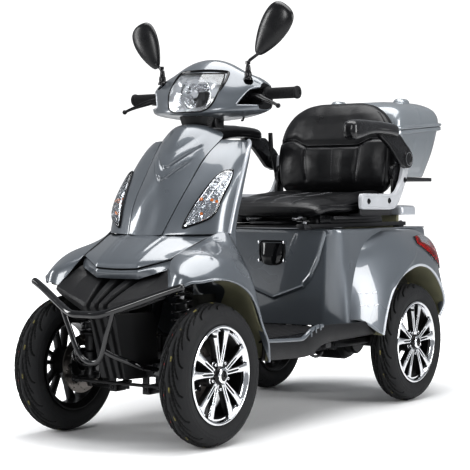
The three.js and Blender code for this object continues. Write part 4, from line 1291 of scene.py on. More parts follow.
def make_headlight():
    outer = nacelle_points()
    ground = Ground(outer, (0, 1, 0), True)
    flat = between(HEADLIGHT_LEFT, HEADLIGHT_RIGHT, 41, 10)
    rows, columns = flat.shape[:2]
    u = np.linspace(-1, 1, rows)[:, None]
    v = np.linspace(-1, 1, columns)[None, :]
    dome = (1 - np.abs(u) ** 4) * (1 - np.abs(v) ** 4)
    front = ground.drape(flat, 1.5 + 3.5 * dome)
    back = ground.drape(flat, -1.5 + 3.0 * dome)
    solid_sheet("headlight", front, back, "steering", PLAIN_CLEAR, ("headlight",))
    frame_line = ground.drape(rim_of(flat), 0.6)
    merge("headlight_rim", [loop_part(frame_line, 2.6, 10)], "steering", FINE_BLACK)
    top = [
        [-94, 0, 1066], [-80, 0, 1103], [-34, 0, 1109], [34, 0, 1109], [88, 0, 1104], [101, 0, 1096],
        [104, 0, 1068], [99, 0, 1040],
    ]
    brow = tube_part([tuple(ground.at(Vector(p), 0.5)) for p in top],
                     [1.5, 3.5, 4.0, 4.2, 4.5, 4.5, 3.5, 1.5], 8, 10)
    merge("headlight_brow", [brow], "steering", GLOSS_BLACK, ())
    edge = headlight_outline(-1.0)
    middle = np.array(BOWL_MIDDLE)
    rings = []
    for t in np.linspace(0, 1, 8):
        ring = []
        for x, z in edge:
            angle = math.atan2(z - middle[1], x - middle[0])
            round_x = middle[0] + BOWL_HALF_WIDTH * math.cos(angle)
            round_z = middle[1] + BOWL_HALF_HEIGHT * math.sin(angle)
            start_y = ground.at(Vector((x, 0, z)), -3).y
            y = start_y * (1 - t) + BOWL_Y * t
            ring.append([x * (1 - t) + round_x * t, y, z * (1 - t) + round_z * t])
        rings.append(ring)
    surround = np.array(rings)
    obj = new_object("surround", surround.reshape(-1, 3), grid_faces(*surround.shape[:2], True))
    face_out(obj)
    modify(obj, "SOLIDIFY", thickness=1.5 * MM, offset=0)
    merge("headlight_surround", [bake(obj)], "steering", SURROUND)
    rings = []
    for t in np.linspace(0, 1, 16):
        reach = 1 - 0.84 * t
        depth = BOWL_Y + 34 * (1 - reach**2)
        ring = []
        for k in range(96):
            angle = k * 2 * math.pi / 96
            fluted = 1 if 2 < t * 15 < 13 else 0
            flute = 2.4 * abs(math.sin(angle * 9)) * fluted * (1 + 0.8 * math.sin(t * 28))
            x = middle[0] + BOWL_HALF_WIDTH * reach * math.cos(angle)
            z = middle[1] + BOWL_HALF_HEIGHT * reach * math.sin(angle)
            ring.append([x, depth - flute, z])
        rings.append(ring)
    bowl = np.array(rings)
    obj = new_object("bowl", bowl.reshape(-1, 3),
                     grid_faces(16, 96, True) + [tuple(15 * 96 + k for k in range(96))])
    face_out(obj)
    modify(obj, "SOLIDIFY", thickness=1.2 * MM, offset=0)
    profile = [[54, -2], [59.5, -2], [60.5, 1], [59.5, 3.5], [56, 3], [54, -2]]
    bezel = turned_part(profile, (middle[0], BOWL_Y, middle[1]), (0, -1, 0), 72)
    for vertex in bezel.data.vertices:
        vertex.co.z = (vertex.co.z - middle[1] * MM) * 0.9 + middle[1] * MM
    merge("headlight_reflector", [bake(obj), bezel], "steering", REFLECTOR, (), 20)
    glass = [[0, 30], [5, 29], [8, 24], [8.6, 16], [8, 4], [6, 0], [0, 0]]
    end_cap = [[0, 42], [9, 41], [12, 38], [13, 34], [12, 33], [0, 33]]
    bulb_seat = (middle[0], -232, middle[1])
    bulb = [turned_part(part, bulb_seat, (0, -1, 0), 24) for part in (glass, end_cap)]
    merge("headlight_bulb", bulb, "steering", SURROUND)


def make_grips():
    for word, side in SIDES.items():
        hub = (0, BAR_Y, BAR_Z)
        axis = (side, 0, 0)
        profile = [[11.5, 206], [19, 206], [22, 208], [22.5, 212], [20, 215], [17.5, 217]]
        x = 219.0
        while x < 306:
            profile += [[16.6, x], [17.8, x + 0.8], [17.8, x + 3.4], [16.6, x + 4.2]]
            x += 5.2
        profile += [[17.2, 309], [19.6, 311], [20.2, 315], [19.2, 318.5], [15, 320], [9, 320], [8, 318],
                    [0, 318]]
        body = "throttle_grip" if side < 0 else "steering"
        grip = turned_part([[0, 206], *profile], hub, axis, 40)
        merge(f"grip_{word}", [grip], body, RUBBER, (f"grip_{word}",), 30)
        clamp = turned_part([[0, 188], [17, 188], [18, 190], [18, 203], [17, 205], [0, 205]], hub, axis, 32)
        perch = box_part((side * 207 - 13, -222, 1012), (side * 207 + 13, -176, 1020), 2)
        post = turned_part([[0, -2], [6, -2], [6, 14], [0, 14]], (side * 207, -214, 1018), (0, 0, 1), 16)
        merge(f"lever_perch_{word}", [clamp, perch, post], "steering", FINE_BLACK)
        blade = [
            [184, -231, 1026], [206, -236, 1023], [222, -242, 1018], [242, -250, 1011], [266, -257, 1003],
            [284, -262, 996], [294, -265, 991],
        ]
        lever = tube_part(mirrored(blade, side), [8.5, 9.5, 9.0, 7.2, 5.6, 4.8, 4.8], 8, 16)
        eye = turned_part([[6.3, -6], [10, -6], [10, 6], [6.3, 6], [6.3, -6]], (side * 207, -214, 1024),
                          (0, 0, 1), 24)
        tip = ball_part((side * 296, -265.5, 990.5), 7.6)
        blade_name = f"brake_lever_{word}"
        merge(blade_name, [lever, eye, tip], blade_name, FINE_BLACK, (blade_name,))
        make_mirror(word, side)


# how far the head is lowered, its size beside the CAD's, its lean in degrees and its distance out
MIRROR_HEADS = {"left": (28, 0.97, 37, 242), "right": (44, 0.88, 27, 236)}
HEAD_WIDTH, HEAD_HEIGHT = 54, 92  # half sizes
MIRROR_PROFILE = [  # width and height as shares of the half sizes
    [0.0, -1.0], [0.14, -0.99], [0.26, -0.94], [0.42, -0.81], [0.64, -0.55], [0.86, -0.2], [0.98, 0.15],
    [1.0, 0.45],
    [0.9, 0.73], [0.66, 0.91], [0.33, 0.985], [0.0, 1.0],
]
BOOT = [
    [0, 0], [14, 0], [14.5, 3], [12.5, 7], [11, 9], [11.5, 18], [10.5, 24], [8.5, 27], [8, 36], [6.5, 46],
    [0, 47],
]


def make_mirror(word, side):
    low, scale, lean, out = MIRROR_HEADS[word]
    path = [
        [166, -234, 1098], [167, -237, 1120], [171, -237, 1144 - low * 0.4], [182, -230, 1164 - low * 0.7],
        [200, -221, 1188 - low], [214, -216, 1206 - low],
    ]
    stem = tube_part(mirrored(path, side), [4.6, 4.6, 4.8, 4.8, 4.8, 5.2], 8, 16)
    boot = turned_part(BOOT, (166 * side, -234, 1076), (0, 0, 1), 28)
    nut = turned_part([[0, 0], [8, 0], [8, 9], [6.5, 10.5], [0, 10.5]], (167 * side, -237, 1124),
                      (0, -0.05, 1), 6)
    knuckle = ball_part((213 * side, -214, 1204 - low), 9)
    tilt = math.radians(lean) * side
    rows = []
    profile = spline_rows(len(MIRROR_PROFILE), 5) @ np.array(MIRROR_PROFILE, float)
    for width, height in profile:
        ring = []
        for a in around(48):
            across = HEAD_WIDTH * scale * width * math.cos(a)
            deep = math.sin(a)
            depth = (22 if deep < 0 else 7) * deep * (width ** 0.8 if width > 0 else 0)
            ring.append([across, depth * scale, HEAD_HEIGHT * scale * height])
        rows.append(ring)
    head = np.array(rows)
    turn = np.array([[math.cos(tilt), 0, math.sin(tilt)], [0, 1, 0], [-math.sin(tilt), 0, math.cos(tilt)]])
    middle = np.array([out * side, -216, 1258 - low - 88 * (1 - scale)])
    head = head @ turn.T + middle
    shell_part = new_object("head", head.reshape(-1, 3), grid_faces(*head.shape[:2], True))
    face_out(shell_part)
    body = f"mirror_{word}"
    merge(body, [stem, boot, nut, knuckle, shell_part], body, SHELL_BLACK, (body,), 40)
    outline = [(w, h) for w, h in profile[1:-1]] + [(-w, h) for w, h in profile[-2:0:-1]]
    glass = []
    for reach, deep in ((0.0, 7.9), (0.5, 7.8), (0.86, 7.4), (0.9, 5.0)):
        wide, tall = HEAD_WIDTH * scale * reach, HEAD_HEIGHT * scale * reach
        glass.append([[wide * w, deep * scale, tall * h] for w, h in outline])
    glass = np.array(glass) @ turn.T + middle
    rows, columns = glass.shape[:2]
    last_ring = tuple(range((rows - 1) * columns, rows * columns))
    plate = new_object("glass", glass.reshape(-1, 3), grid_faces(rows, columns, True) + [last_ring])
    face_out(plate)
    merge(f"mirror_glass_{word}", [plate], body, GLASS_MIRROR, ())


def make_column():
    low = Vector((0, -240 - (1035 - 184) * math.tan(math.atan2(251, 690)), 184))
    high = Vector((0, -240, 1040))
    axis = (high - low).normalized()
    profile = [[0, 0], [15, 0], [15, (high - low).length - 4], [0, (high - low).length - 4]]
    shaft = turned_part(profile, low, axis, 28)
    bar = turned_part([[0, -311], [11, -311], [11, 311], [0, 311]], (0, BAR_Y, BAR_Z), (1, 0, 0), 24)
    clamp = box_part((-22, -262, 1015), (22, -174, 1044), 4)
    pitman = box_part((-9, -612, 186), (9, -548, 194), 2)
    merge("steering_column", [shaft, bar, clamp, pitman], "steering", FRAME_STEEL, ("steering_column",))
    rings = []
    levels = ((930, 52, -300, -214), (944, 55, -302, -212), (958, 60, -304, -206), (972, 64, -306, -200))
    for z, half, front, back in levels:
        ring = []
        for a in around(36):
            c, s = math.cos(a), math.sin(a)
            x = half * math.copysign(abs(c) ** 0.6, c)
            y = (front + back) / 2 + (back - front) / 2 * math.copysign(abs(s) ** 0.6, s)
            ring.append([x, y, z])
        rings.append(ring)
    solid("neck_cover", np.array(rings), "steering", FINE_BLACK)
    plate = box_part((44, -262, 930), (64, -216, 968), 3)
    hook = tube_part([[130, -203, 983], [130, -204, 968], [130, -208, 956], [130, -216, 953]], 3.2, 6, 10)
    screws = [
        bolt_part((65, -240, 950), (1, 0, 0), 4.5, 3.5),
        bolt_part((65, -226, 962), (1, 0, 0), 3.0, 2.6),
    ]
    merge("neck_bracket", [plate, hook, *screws], "steering", BLACK_STEEL)
    profile = [[26, -40], [32, -40], [34, -30], [33, 10], [30, 14], [26, 14], [26, -40]]
    collar = turned_part(profile, high - axis * 130, axis, 36)
    merge("column_collar", [collar], "root", FINE_BLACK)
    horn = turned_part([[0, -6], [10, -6], [10, 6], [8.5, 8], [0, 8.6]], (120, -106, 1085), (0, 0.45, 1), 24)
    merge("horn_button", [horn], "horn_button", RUBBER, ("horn_button",))


def make_dash():
    """Instrument panel, key and indicator switch on the rider's side of the nacelle."""
    ground = Ground(nacelle_points(), (0, -0.75, -0.66), True)

    def on_face(x, z, lift):
        return ground.at(Vector((x, -110, z)), lift)

    flat = np.array([[(x, -100, z) for x in np.linspace(-62, 62, 25)] for z in np.linspace(1082, 1122, 11)])
    face = ground.drape(flat, 3.0)
    back = ground.drape(flat, -1.0)
    solid_sheet("instrument_glass", face, back, "steering", GLOSS_BLACK, ())
    ring = loop_part(ground.drape(rim_of(flat), 2.4), 2.4, 8)
    merge("instrument_bezel", [ring], "steering", PALE, ())
    bars = []
    for i in range(6):
        x = -42 + i * 9
        spot = on_face(x, 1096, 3.2)
        bars.append(box_part(spot - Vector((2.6, 1, 3 + i)), spot + Vector((2.6, 1, 3 + i)), 0.6))
    merge("charge_gauge", bars, "steering", PALE)
    key_place = on_face(0, 1052, 0)
    lock = turned_part([[0, -3], [15, -3], [15, 3], [13, 5], [4, 5], [4, 3], [0, 3]], key_place,
                       (0, 0.9, 0.4), 28)
    merge("key_lock", [lock], "steering", CHROME, ())
    key = box_part(Vector(key_place) + Vector((-2, 2, -2)), Vector(key_place) + Vector((2, 26, 16)), 1.2)
    merge("key", [key], "steering", FINE_BLACK)
    base = on_face(-118, 1078, 0)
    knob = turned_part([[0, -3], [12, -3], [12, 2], [6, 4], [4, 10], [5, 13], [0, 14]], base,
                       (0, 0.8, 0.6), 20)
    merge("indicator_switch", [knob], "steering", RUBBER)


SURROUND = gloss("light_surround", (0.86, 0.87, 0.89), 0.55, 0.14, 0.1)
make_nacelle()
make_headlight()
make_grips()
make_column()
make_dash()


# ---------------------------------------------------------------- floor, seat box and rear bodywork
def smooth_ring(corners, radius=18.0, per=7):
    """A closed outline in plan with rounded corners."""
    corners = np.array(corners, float)
    n = len(corners)
    out = []
    for i in range(n):
        before, here, after = corners[i - 1], corners[i], corners[(i + 1) % n]
        a, b = before - here, after - here
        la, lb = np.linalg.norm(a), np.linalg.norm(b)
        r = min(radius, la * 0.45, lb * 0.45)
        start, stop = here + a / la * r, here + b / lb * r
        for t in np.linspace(0, 1, per):
            out.append((1 - t) ** 2 * start + 2 * t * (1 - t) * here + t**2 * stop)
    return np.array(out)


def inward_normals(loop):
    """Unit vectors into a closed outline, at each of its points."""
    tangent = np.roll(loop, -1, 0) - np.roll(loop, 1, 0)
    tangent /= np.linalg.norm(tangent, axis=1, keepdims=True)
    after = np.roll(loop, -1, 0)
    turn = np.sign(np.sum(loop[:, 0] * after[:, 1] - after[:, 0] * loop[:, 1]))
    return turn * np.stack([-tangent[:, 1], tangent[:, 0]], axis=1)


def resample(ring, count):
    """The same closed outline at evenly spaced points."""
    loop = np.concatenate([ring, ring[:1]])
    length = np.concatenate([[0], np.cumsum(np.linalg.norm(np.diff(loop, axis=0), axis=1))])
    spots = np.linspace(0, length[-1], count, endpoint=False)
    return np.stack([np.interp(spots, length, loop[:, k]) for k in range(loop.shape[1])], axis=1)


SILL_TOP = [
    [-357, 286], [-250, 276], [-157, 270], [-110, 274], [-56, 298], [49, 306], [167, 301], [300, 300],
    [340, 300],
]
SILL_LOW = [
    [-360, 227], [-250, 221], [-122, 216], [-60, 224], [-10, 243], [60, 250], [167, 251], [300, 251],
    [340, 252],
]
FLOOR_EDGE = [[-352, 288], [-250, 282], [-157, 277], [-112, 281], [-62, 303], [0, 309]]


def make_floor():
    deck = box_part((-292, -326, 274), (292, 176, 283), 3)
    merge("floor_deck", [deck], "root", FINE_BLACK)
    ribs = []
    for x in range(-250, 251, 25):
        ribs.append(box_part((x - 8, -300, 282.5), (x + 8, 150, 285.5), 1.2, 1))
    merge("floor_mat", ribs, "root", RUBBER)
    for word, side in SIDES.items():
        rows = spline_rows(len(SILL_TOP), 8)
        grid = []
        for (ty, tz), (ly, lz) in zip(rows @ np.array(SILL_TOP, float), rows @ np.array(SILL_LOW, float)):
            grid.append([
                (286, ty, tz - 3), (294, ty, tz), (301, ty, tz - 4), (304, (ty + ly) / 2, (tz + lz) / 2),
                (300, ly, lz + 3), (292, ly, lz), (284, ly, lz + 4),
            ])
        points = surface(mirrored(grid, side), 1, 4)
        shell(f"sill_{word}", points, "root", BLACK, 4, (), inside=(0, 0, 260), edge=1)
        strip = []
        for y, z in spline_rows(len(FLOOR_EDGE), 8) @ np.array(FLOOR_EDGE, float):
            strip.append([(288, y, z - 8), (290, y, z + 1), (297, y, z + 2), (301, y, z - 2),
                          (301, y, z - 9)])
        edging = surface(mirrored(strip, side), 1, 4)
        shell(f"floor_edge_{word}", edging, "root", GREY, 3, (), inside=(0, 0, 270), edge=0.8)
        ribs = []
        for y, z in ((-84, 284), (-56, 294), (-28, 300)):
            ribs.append(box_part((side * 300 - 3, y, z - 8), (side * 300 + 5, y + 6, z + 12), 1.5))
        merge(f"sill_ribs_{word}", ribs, "root", GREY)
    brace = [box_part((-180, y, 262), (180, y + 24, 274), 2) for y in (-260, -60, 120)]
    merge("floor_braces", brace, "root", FRAME_STEEL, ("floor_pan",))


SHIELD = [[209, 593], [178, 500], [147, 439], [120, 411], [60, 390], [0, 369]]


def shield_edge(x):
    """Height of the crease on the front of the seat box at a distance from its centre."""
    table = np.array(SHIELD[::-1], float)
    return np.interp(np.abs(x), table[:, 0], table[:, 1])


BOX_FOOT = [[188, 176], [222, 196], [264, 222], [268, 345], [268, 852]]
BOX_TOP = [[214, 164], [236, 180], [252, 206], [240, 345], [228, 858]]
DECK_EDGE = [[213, 166], [234, 182], [249, 207], [238, 345], [229, 864]]
BOX_LOW, BOX_HIGH = 286, 606


def plan_ring(half, count):
    """A closed outline in plan, from the corners of its left half."""
    corners = half + [[-x, y] for x, y in half[::-1]]
    return resample(smooth_ring(corners, 26), count)


def shrunk_rings(outline, middle, steps):
    """Rings of an outline that close in on its middle: each step is how far, and the ring's height."""
    rings = []
    away = outline - middle
    for shrink, height in steps:
        ring = middle + away * (1 - shrink / np.linalg.norm(away, axis=1, keepdims=True))
        rings.append(np.concatenate([ring, np.full((len(ring), 1), height)], axis=1))
    return np.array(rings)


def make_seat_box():
    low, high = plan_ring(BOX_FOOT, 720), plan_ring(BOX_TOP, 720)
    rows = []
    for z in np.concatenate([np.linspace(BOX_LOW, BOX_HIGH - 10, 110), [600, 603, 605, BOX_HIGH]]):
        t = (z - BOX_LOW) / (BOX_HIGH - BOX_LOW)
        ring = low * (1 - t) + high * t
        pull = {600: 1.0, 603: 2.6, 605: 5.0, 606: 8.0}.get(float(z), 0.0)
        ring = ring * (1 - pull / 400)
        rows.append(np.concatenate([ring, np.full((len(ring), 1), z)], axis=1))
    points = np.array(rows)
    x, y, z = points[..., 0], points[..., 1], points[..., 2]
    front = (y < 205).astype(float) * (np.abs(x) < 226)
    crease = shield_edge(x)
    slope = 1 / np.sqrt(1 + np.where(np.abs(x) > 120, 2.2, 0.4) ** 2)
    distance = (z - crease) * slope
    points[..., 1] -= front * (5.0 * ramp(distance, -1.5, 4) + 2.2 * groove(distance - 6, 9))
    lift = (z < 470) & (y > 345)
    points[..., 2] = np.where(lift, 470 + (z - 470) * 0.02, points[..., 2])
    shell("seat_box", points, "root", GREY, 4, ("seat_box",), closed=True,
          inside=(0, 400, 450), edge=1.2, even=False)
    steps = ((0, 603.5), (2, 606.5), (5, 608), (14, 608.5), (24, 606), (120, 606), (200, 606))
    deck = shrunk_rings(plan_ring(DECK_EDGE, 240), np.array([0, 500.0]), steps)
    solid("seat_box_deck", deck, "root", GREY, ())
    shelf = resample(smooth_ring([[150, 822], [150, 942], [-150, 942], [-150, 822]], 24), 120)
    steps = ((0, 650), (0, 672), (3, 680), (9, 684), (40, 686), (90, 686))
    lid = shrunk_rings(shelf, np.array([0, 882.0]), steps)
    solid("rear_shelf", lid, "root", PALE, (), edge=1)
    stem = box_part((-118, 836, 600), (118, 856, 652), 3)
    merge("rear_shelf_stem", [stem], "root", LINER)
    back = box_part((-205, 838, 452), (205, 846, 590), 6, 3)
    handle = box_part((-60, 842, 520), (60, 851, 560), 4, 3)
    merge("rear_panel", [back, handle], "root", BLACK)
    make_latch()


def make_latch():
    """The seat box's flap: a glossy black cup in a frame."""
    rows = []
    for t in np.linspace(0, 1, 15):
        z = 560 - 64 * t
        row = []
        for u in np.linspace(-1, 1, 21):
            half = 42 - 7 * max(0, t - 0.7) / 0.3
            bulge = 16 * (1 - abs(u) ** 4) * (0.35 + 0.65 * math.sin(math.pi * min(t * 1.15, 1) * 0.62))
            row.append([u * half, 156 - bulge, z - (8 * (1 - u * u) if t > 0.8 else 0) * (t - 0.8) / 0.2])
        rows.append(row)
    rows = np.array(rows)
    flat = rows.copy()
    flat[..., 1] = 160
    solid_sheet("seat_box_latch", rows, flat, "seat_box_latch", GLOSS_BLACK, ("seat_box_latch",),
                40)
    corners = [[-48, 566], [48, 566], [50, 526], [44, 498], [20, 487], [-20, 487], [-44, 498], [-50, 526]]
    path = resample(smooth_ring([[x, 161, z] for x, z in corners], 14), 120)
    merge("latch_frame", [loop_part(path, 3.2, 10)], "root", GLOSS_BLACK, ())
    ears = [box_part((s * 50 - 5, 155, z - 5), (s * 50 + 5, 165, z + 5), 2.5) for s in (-1, 1)
            for z in (562, 500)]
    merge("latch_pins", ears, "root", CHROME, ())


FENDER_REAR = [
    [[262, 232, 302], [290, 262, 300], [318, 306, 268], [334, 338, 250]],
    [[256, 248, 400], [287, 288, 396], [318, 340, 384], [336, 380, 367]],
    [[247, 296, 500], [281, 346, 490], [317, 406, 466], [337, 452, 438]],
    [[238, 376, 566], [274, 412, 554], [316, 460, 513], [338, 510, 462]],
    [[230, 500, 600], [274, 508, 586], [318, 522, 536], [339, 552, 473]],
    [[229, 600, 604], [272, 604, 590], [316, 610, 538], [339, 616, 476]],
    [[229, 720, 602], [270, 722, 584], [312, 718, 528], [338, 690, 456]],
    [[229, 806, 588], [262, 808, 556], [302, 796, 492], [336, 756, 410]],
    [[229, 848, 520], [262, 845, 474], [302, 824, 412], [332, 806, 342]],
    [[234, 848, 420], [264, 840, 376], [300, 812, 328], [327, 780, 288]],
]
TAIL_TOP = [[284, 640, 568], [272, 705, 570], [264, 775, 550], [262, 828, 500]]
TAIL_LOW = [[300, 628, 545], [312, 684, 518], [314, 740, 489], [304, 814, 456]]


def make_rear_fender():
    for word, side in SIDES.items():
        points = surface(mirrored(FENDER_REAR, side), 14, 14)
        y, z = points[..., 1], points[..., 2]
        crease = (y - 420) * 0.62 + 420
        points[..., 0] += side * 4.5 * groove(z - crease, 26) * ramp(y, 380, 430) * (1 - ramp(y, 560, 640))
        shell(f"rear_fender_{word}", points, "root", GREY, 4, (f"rear_fender_{word}",),
              inside=(200 * side, 590, 400), edge=1.6)
        edge = np.array([row[-1] for row in FENDER_REAR], float)
        lip = tube_part(mirrored(edge + [-2, 0, 0], side), 5.0, 12, 12)
        merge(f"arch_lip_{word}", [lip], "root", PALE, ())
        make_rear_liner(word, side, edge)
        ground = Ground(points, (-side, 0, 0))
        slots = []
        for row, level in enumerate((392, 350)):
            for i in range(3):
                y0 = 268 + i * 24 - row * 2
                ends = [ground.at(Vector((300 * side, y0 + d, level + d * 0.3)), 0.4) for d in (0, 13)]
                slots.append(tube_part([tuple(ends[0]), tuple((ends[0] + ends[1]) / 2), tuple(ends[1])],
                                       2.1, 3, 8))
        merge(f"side_vents_{word}", slots, "root", PALE)
        make_tail_light(word, side, points)


def make_rear_liner(word, side, edge):
    hub_y, hub_z = 583, 207
    stations = []
    for point in edge:
        away = np.array([point[1] - hub_y, point[2] - hub_z])
        away = away / np.linalg.norm(away)
        reach = max(np.linalg.norm([point[1] - hub_y, point[2] - hub_z]) - 4, 240)
        y, z = hub_y + away[0] * reach, hub_z + away[1] * reach
        top = max(0, away[1])
        stations.append([[205, y, z + 10 * top], [262, y, z + 8 * top],
                         [point[0] - 5, point[1], point[2] - 1]])
    points = surface(mirrored(stations, side), 8, 8)
    shell(f"rear_liner_{word}", points, "root", LINER, 2.5, (), edge=0.8,
          inside=(260 * side, hub_y, hub_z))
    rows = []
    for level, arch in ((430, 40), (300, 0)):
        rows.append([
            [203, y, level + arch * math.sin((y - 345) / 500 * math.pi)] for y in (345, 460, 583, 700, 845)
        ])
    wall = surface(mirrored(rows, side), 12, 12)
    shell(f"inner_wall_{word}", wall, "root", DARK_LINER, 2.5, (), edge=0, inside=(0, hub_y, 400))


def make_tail_light(word, side, fender):
    """Wrap-round lens on the fender's rear corner: clear above, red below."""
    flat = between(mirrored(TAIL_TOP, side), mirrored(TAIL_LOW, side), 25, 10)
    near = Ground(fender, (-side, 0, 0)).tree

    def lay(points, lift):
        out = []
        lifts = np.broadcast_to(lift, points.shape[:-1]).reshape(-1)
        for p, h in zip(points.reshape(-1, 3), lifts):
            place, normal, _, _ = near.find_nearest(Vector(p))
            if normal.dot(place - Vector((0, 560, 350))) < 0:
                normal = -normal
            out.append(tuple(place + normal * h))
        return np.array(out).reshape(points.shape)

    rows, columns = flat.shape[:2]
    u = np.linspace(-1, 1, rows)[:, None]
    v = np.linspace(-1, 1, columns)[None, :]
    dome = (1 - np.abs(u) ** 5) * (1 - np.abs(v) ** 4)
    outer, inner = lay(flat, 5 + 5.5 * dome), lay(flat, 3.4 + 4.5 * dome)
    split = columns * 16 // 25
    first, last = rows * 3 // 19, rows * 12 // 19
    ribs = 1.2 * np.abs(np.sin(v * 26)) * np.ones_like(u)
    solid_sheet(f"tail_reflector_{word}", lay(flat, 1.6 + ribs * dome), lay(flat, -1.5), "root", REFLECTOR)
    red_parts = ((slice(None), slice(split, None)), (slice(0, first + 1), slice(0, split + 1)),
                 (slice(last, None), slice(0, split + 1)))
    for number, part in enumerate(red_parts):
        name = f"tail_light_{word}" if number == 0 else f"tail_red_lens_{number}_{word}"
        stands_for = (f"tail_light_{word}",) if number == 0 else ()
        solid_sheet(name, outer[part], inner[part], "root", RED_CLEAR, stands_for)
        red = lay(flat[part][1:-1, 1:-1], 2.8)
        solid_sheet(f"tail_red_{number}_{word}", red, red - [0, 0, 1.0], "root", RED, ())
    window = (slice(first, last + 1), slice(0, split + 1))
    solid_sheet(f"tail_light_clear_{word}", outer[window], inner[window], "root", PLAIN_CLEAR, ())
    merge(f"tail_rim_{word}", [loop_part(lay(rim_of(flat), 2.4), 1.9, 10)], "root", FINE_BLACK)


make_floor()
make_seat_box()
make_rear_fender()


# ---------------------------------------------------------------- seat
def power(value, exponent):
    """A power that keeps its sign."""
    return np.sign(value) * np.abs(value) ** exponent


def stitch_part(path, length=5.0, gap=3.4, radius=0.55):
    """Short thread stitches along a path, as one unfinished mesh."""
    path = np.array(path, float)
    travelled = np.concatenate([[0], np.cumsum(np.linalg.norm(np.diff(path, axis=0), axis=1))])
    work = bmesh.new()
    start = 0.0
    while start + length < travelled[-1]:
        spots = [np.array([np.interp(s, travelled, path[:, k]) for k in range(3)])
                 for s in (start, start + length)]
        a, b = (Vector(to_frame([p])[0]) for p in spots)
        direction = (b - a).normalized()
        turn = direction.to_track_quat("Z", "Y").to_matrix().to_4x4()
        matrix = Matrix.Translation((a + b) / 2) @ turn
        bmesh.ops.create_cone(work, cap_ends=True, segments=6, radius1=radius * MM, radius2=radius * MM,
                              depth=(b - a).length, matrix=matrix)
        start += length + gap
    mesh = bpy.data.meshes.new("stitches")
    work.to_mesh(mesh)
    work.free()
    obj = bpy.data.objects.new("stitches", mesh)
    bpy.context.scene.collection.objects.link(obj)
    return obj


def wrinkle(a, b, seed):
    """Small soft creases: a sum of waves in fixed directions."""
    total = np.zeros(np.broadcast(a, b).shape)
    for k in range(7):
        angle = seed * 1.7 + k * 2.399
        size = 26 + 17 * ((k * 37 + seed * 11) % 5)
        along = a * math.cos(angle) + b * math.sin(angle)
        total += np.sin(along / size * 2 * math.pi + k * 1.3) * size / 60
    return total / 7


SEAT_SEAMS = (-118, -40, 40, 118)


def cushion_top(x, y):
    """Height of the cushion's upper side."""
    base = 703 + 12 * ramp(y, 84, 215) + 16 * ramp(y, 260, 540)
    wing = 15 * ramp(np.abs(x), 120, 196) * ramp(y, 230, 360)
    crown = -6 * (np.abs(x) / 225) ** 2
    return base + wing + crown


def make_cushion():
    rows = []
    front_rows, rear_rows = [84, 84.8, 86.5, 89, 93, 98, 104, 111], [550, 554, 557, 559, 560]
    for y in np.concatenate([front_rows, np.linspace(119, 545, 86), rear_rows]):
        front = min(max((y - 84) / 46, 0), 1)
        roll = math.sqrt(1 - (1 - front) ** 2)
        rear = min(max((560 - y) / 16, 0), 1)
        roll *= math.sqrt(1 - (1 - rear) ** 2) * 0.94 + 0.06
        half = 228 - 18 * (1 - math.sqrt(max(0, 1 - (1 - min(front, 1)) ** 2)))
        half = half + (6 * ramp(y, 160, 250) - 8 * ramp(y, 520, 560))
        low = 646 + 11 * ramp(y, 90, 190) + 4 * ramp(y, 480, 560)
        ring = []
        for a in around(200):
            c, s = math.cos(a), math.sin(a)
            x = half * power(c, 0.42) * (0.985 if s < 0 else 1)
            top = float(cushion_top(x, y))
            mid = low + (top - low) * 0.46
            z = mid + (power(s, 0.62) * ((top - mid) if s > 0 else (mid - low))) * roll
            ring.append([x, y, z])
        rows.append(ring)
    points = np.array(rows)
    x, y, z = points[..., 0], points[..., 1], points[..., 2]
    up = ramp(z, 690, 702)
    seams = np.zeros_like(x)
    for line in SEAT_SEAMS:
        bend = line * (1 + 0.10 * ramp(y, 120, 420))
        seams = np.maximum(seams, groove(x - bend, 17) * (1 - ramp(y, 470, 530)))
    side_seam = groove(z - (686 + 8 * ramp(y, 240, 380)), 9)
    outward = np.sign(x) * side_seam * 3.2 * ramp(np.abs(x), 205, 222)
    points[..., 2] -= up * seams * 5.5 * (y > 92)
    puff = np.zeros_like(x)
    edges = (-206, *SEAT_SEAMS, 206)
    for a, b in zip(edges, edges[1:]):
        t = np.clip((x - a) / (b - a), 0, 1)
        puff = np.maximum(puff, np.sin(math.pi * t) * (x > a) * (x < b))
    points[..., 2] += up * puff * 4.0 * ramp(y, 100, 150)
    points[..., 0] -= outward
    points[..., 1] += 3.0 * groove(z - 690, 10) * (1 - ramp(y, 96, 118)) * (1 - ramp(np.abs(x), 180, 215))
    points[..., 2] += up * 1.5 * wrinkle(x, y, 2)
    solid("seat_cushion", points, "seat", LEATHER, ("seat_cushion",), angle=60)
    ground = Ground(points, (0, 0, -1), True)
    threads = []
    for line in SEAT_SEAMS:
        for shift in (-4.2, 4.2):
            path = []
            for y_at in np.linspace(100, 480, 90):
                x_at = line * (1 + 0.10 * float(ramp(y_at, 120, 420))) + shift
                path.append(tuple(ground.at(Vector((x_at, y_at, 700)), 0.25)))
            threads.append(stitch_part(path))
    merge("cushion_stitching", threads, "seat", THREAD)


BACK_OUTLINE = [  # height, half width, middle of the thickness, half thickness
    [726, 178, 585, 12], [738, 206, 586, 25], [764, 226, 586, 37], [800, 234, 588, 42],
    [850, 238, 592, 44], [895, 237, 597, 44],
    [940, 230, 603, 42], [980, 214, 610, 38], [1012, 190, 617, 33], [1034, 160, 622, 27],
    [1048, 128, 626, 20], [1056, 84, 628, 9],
]


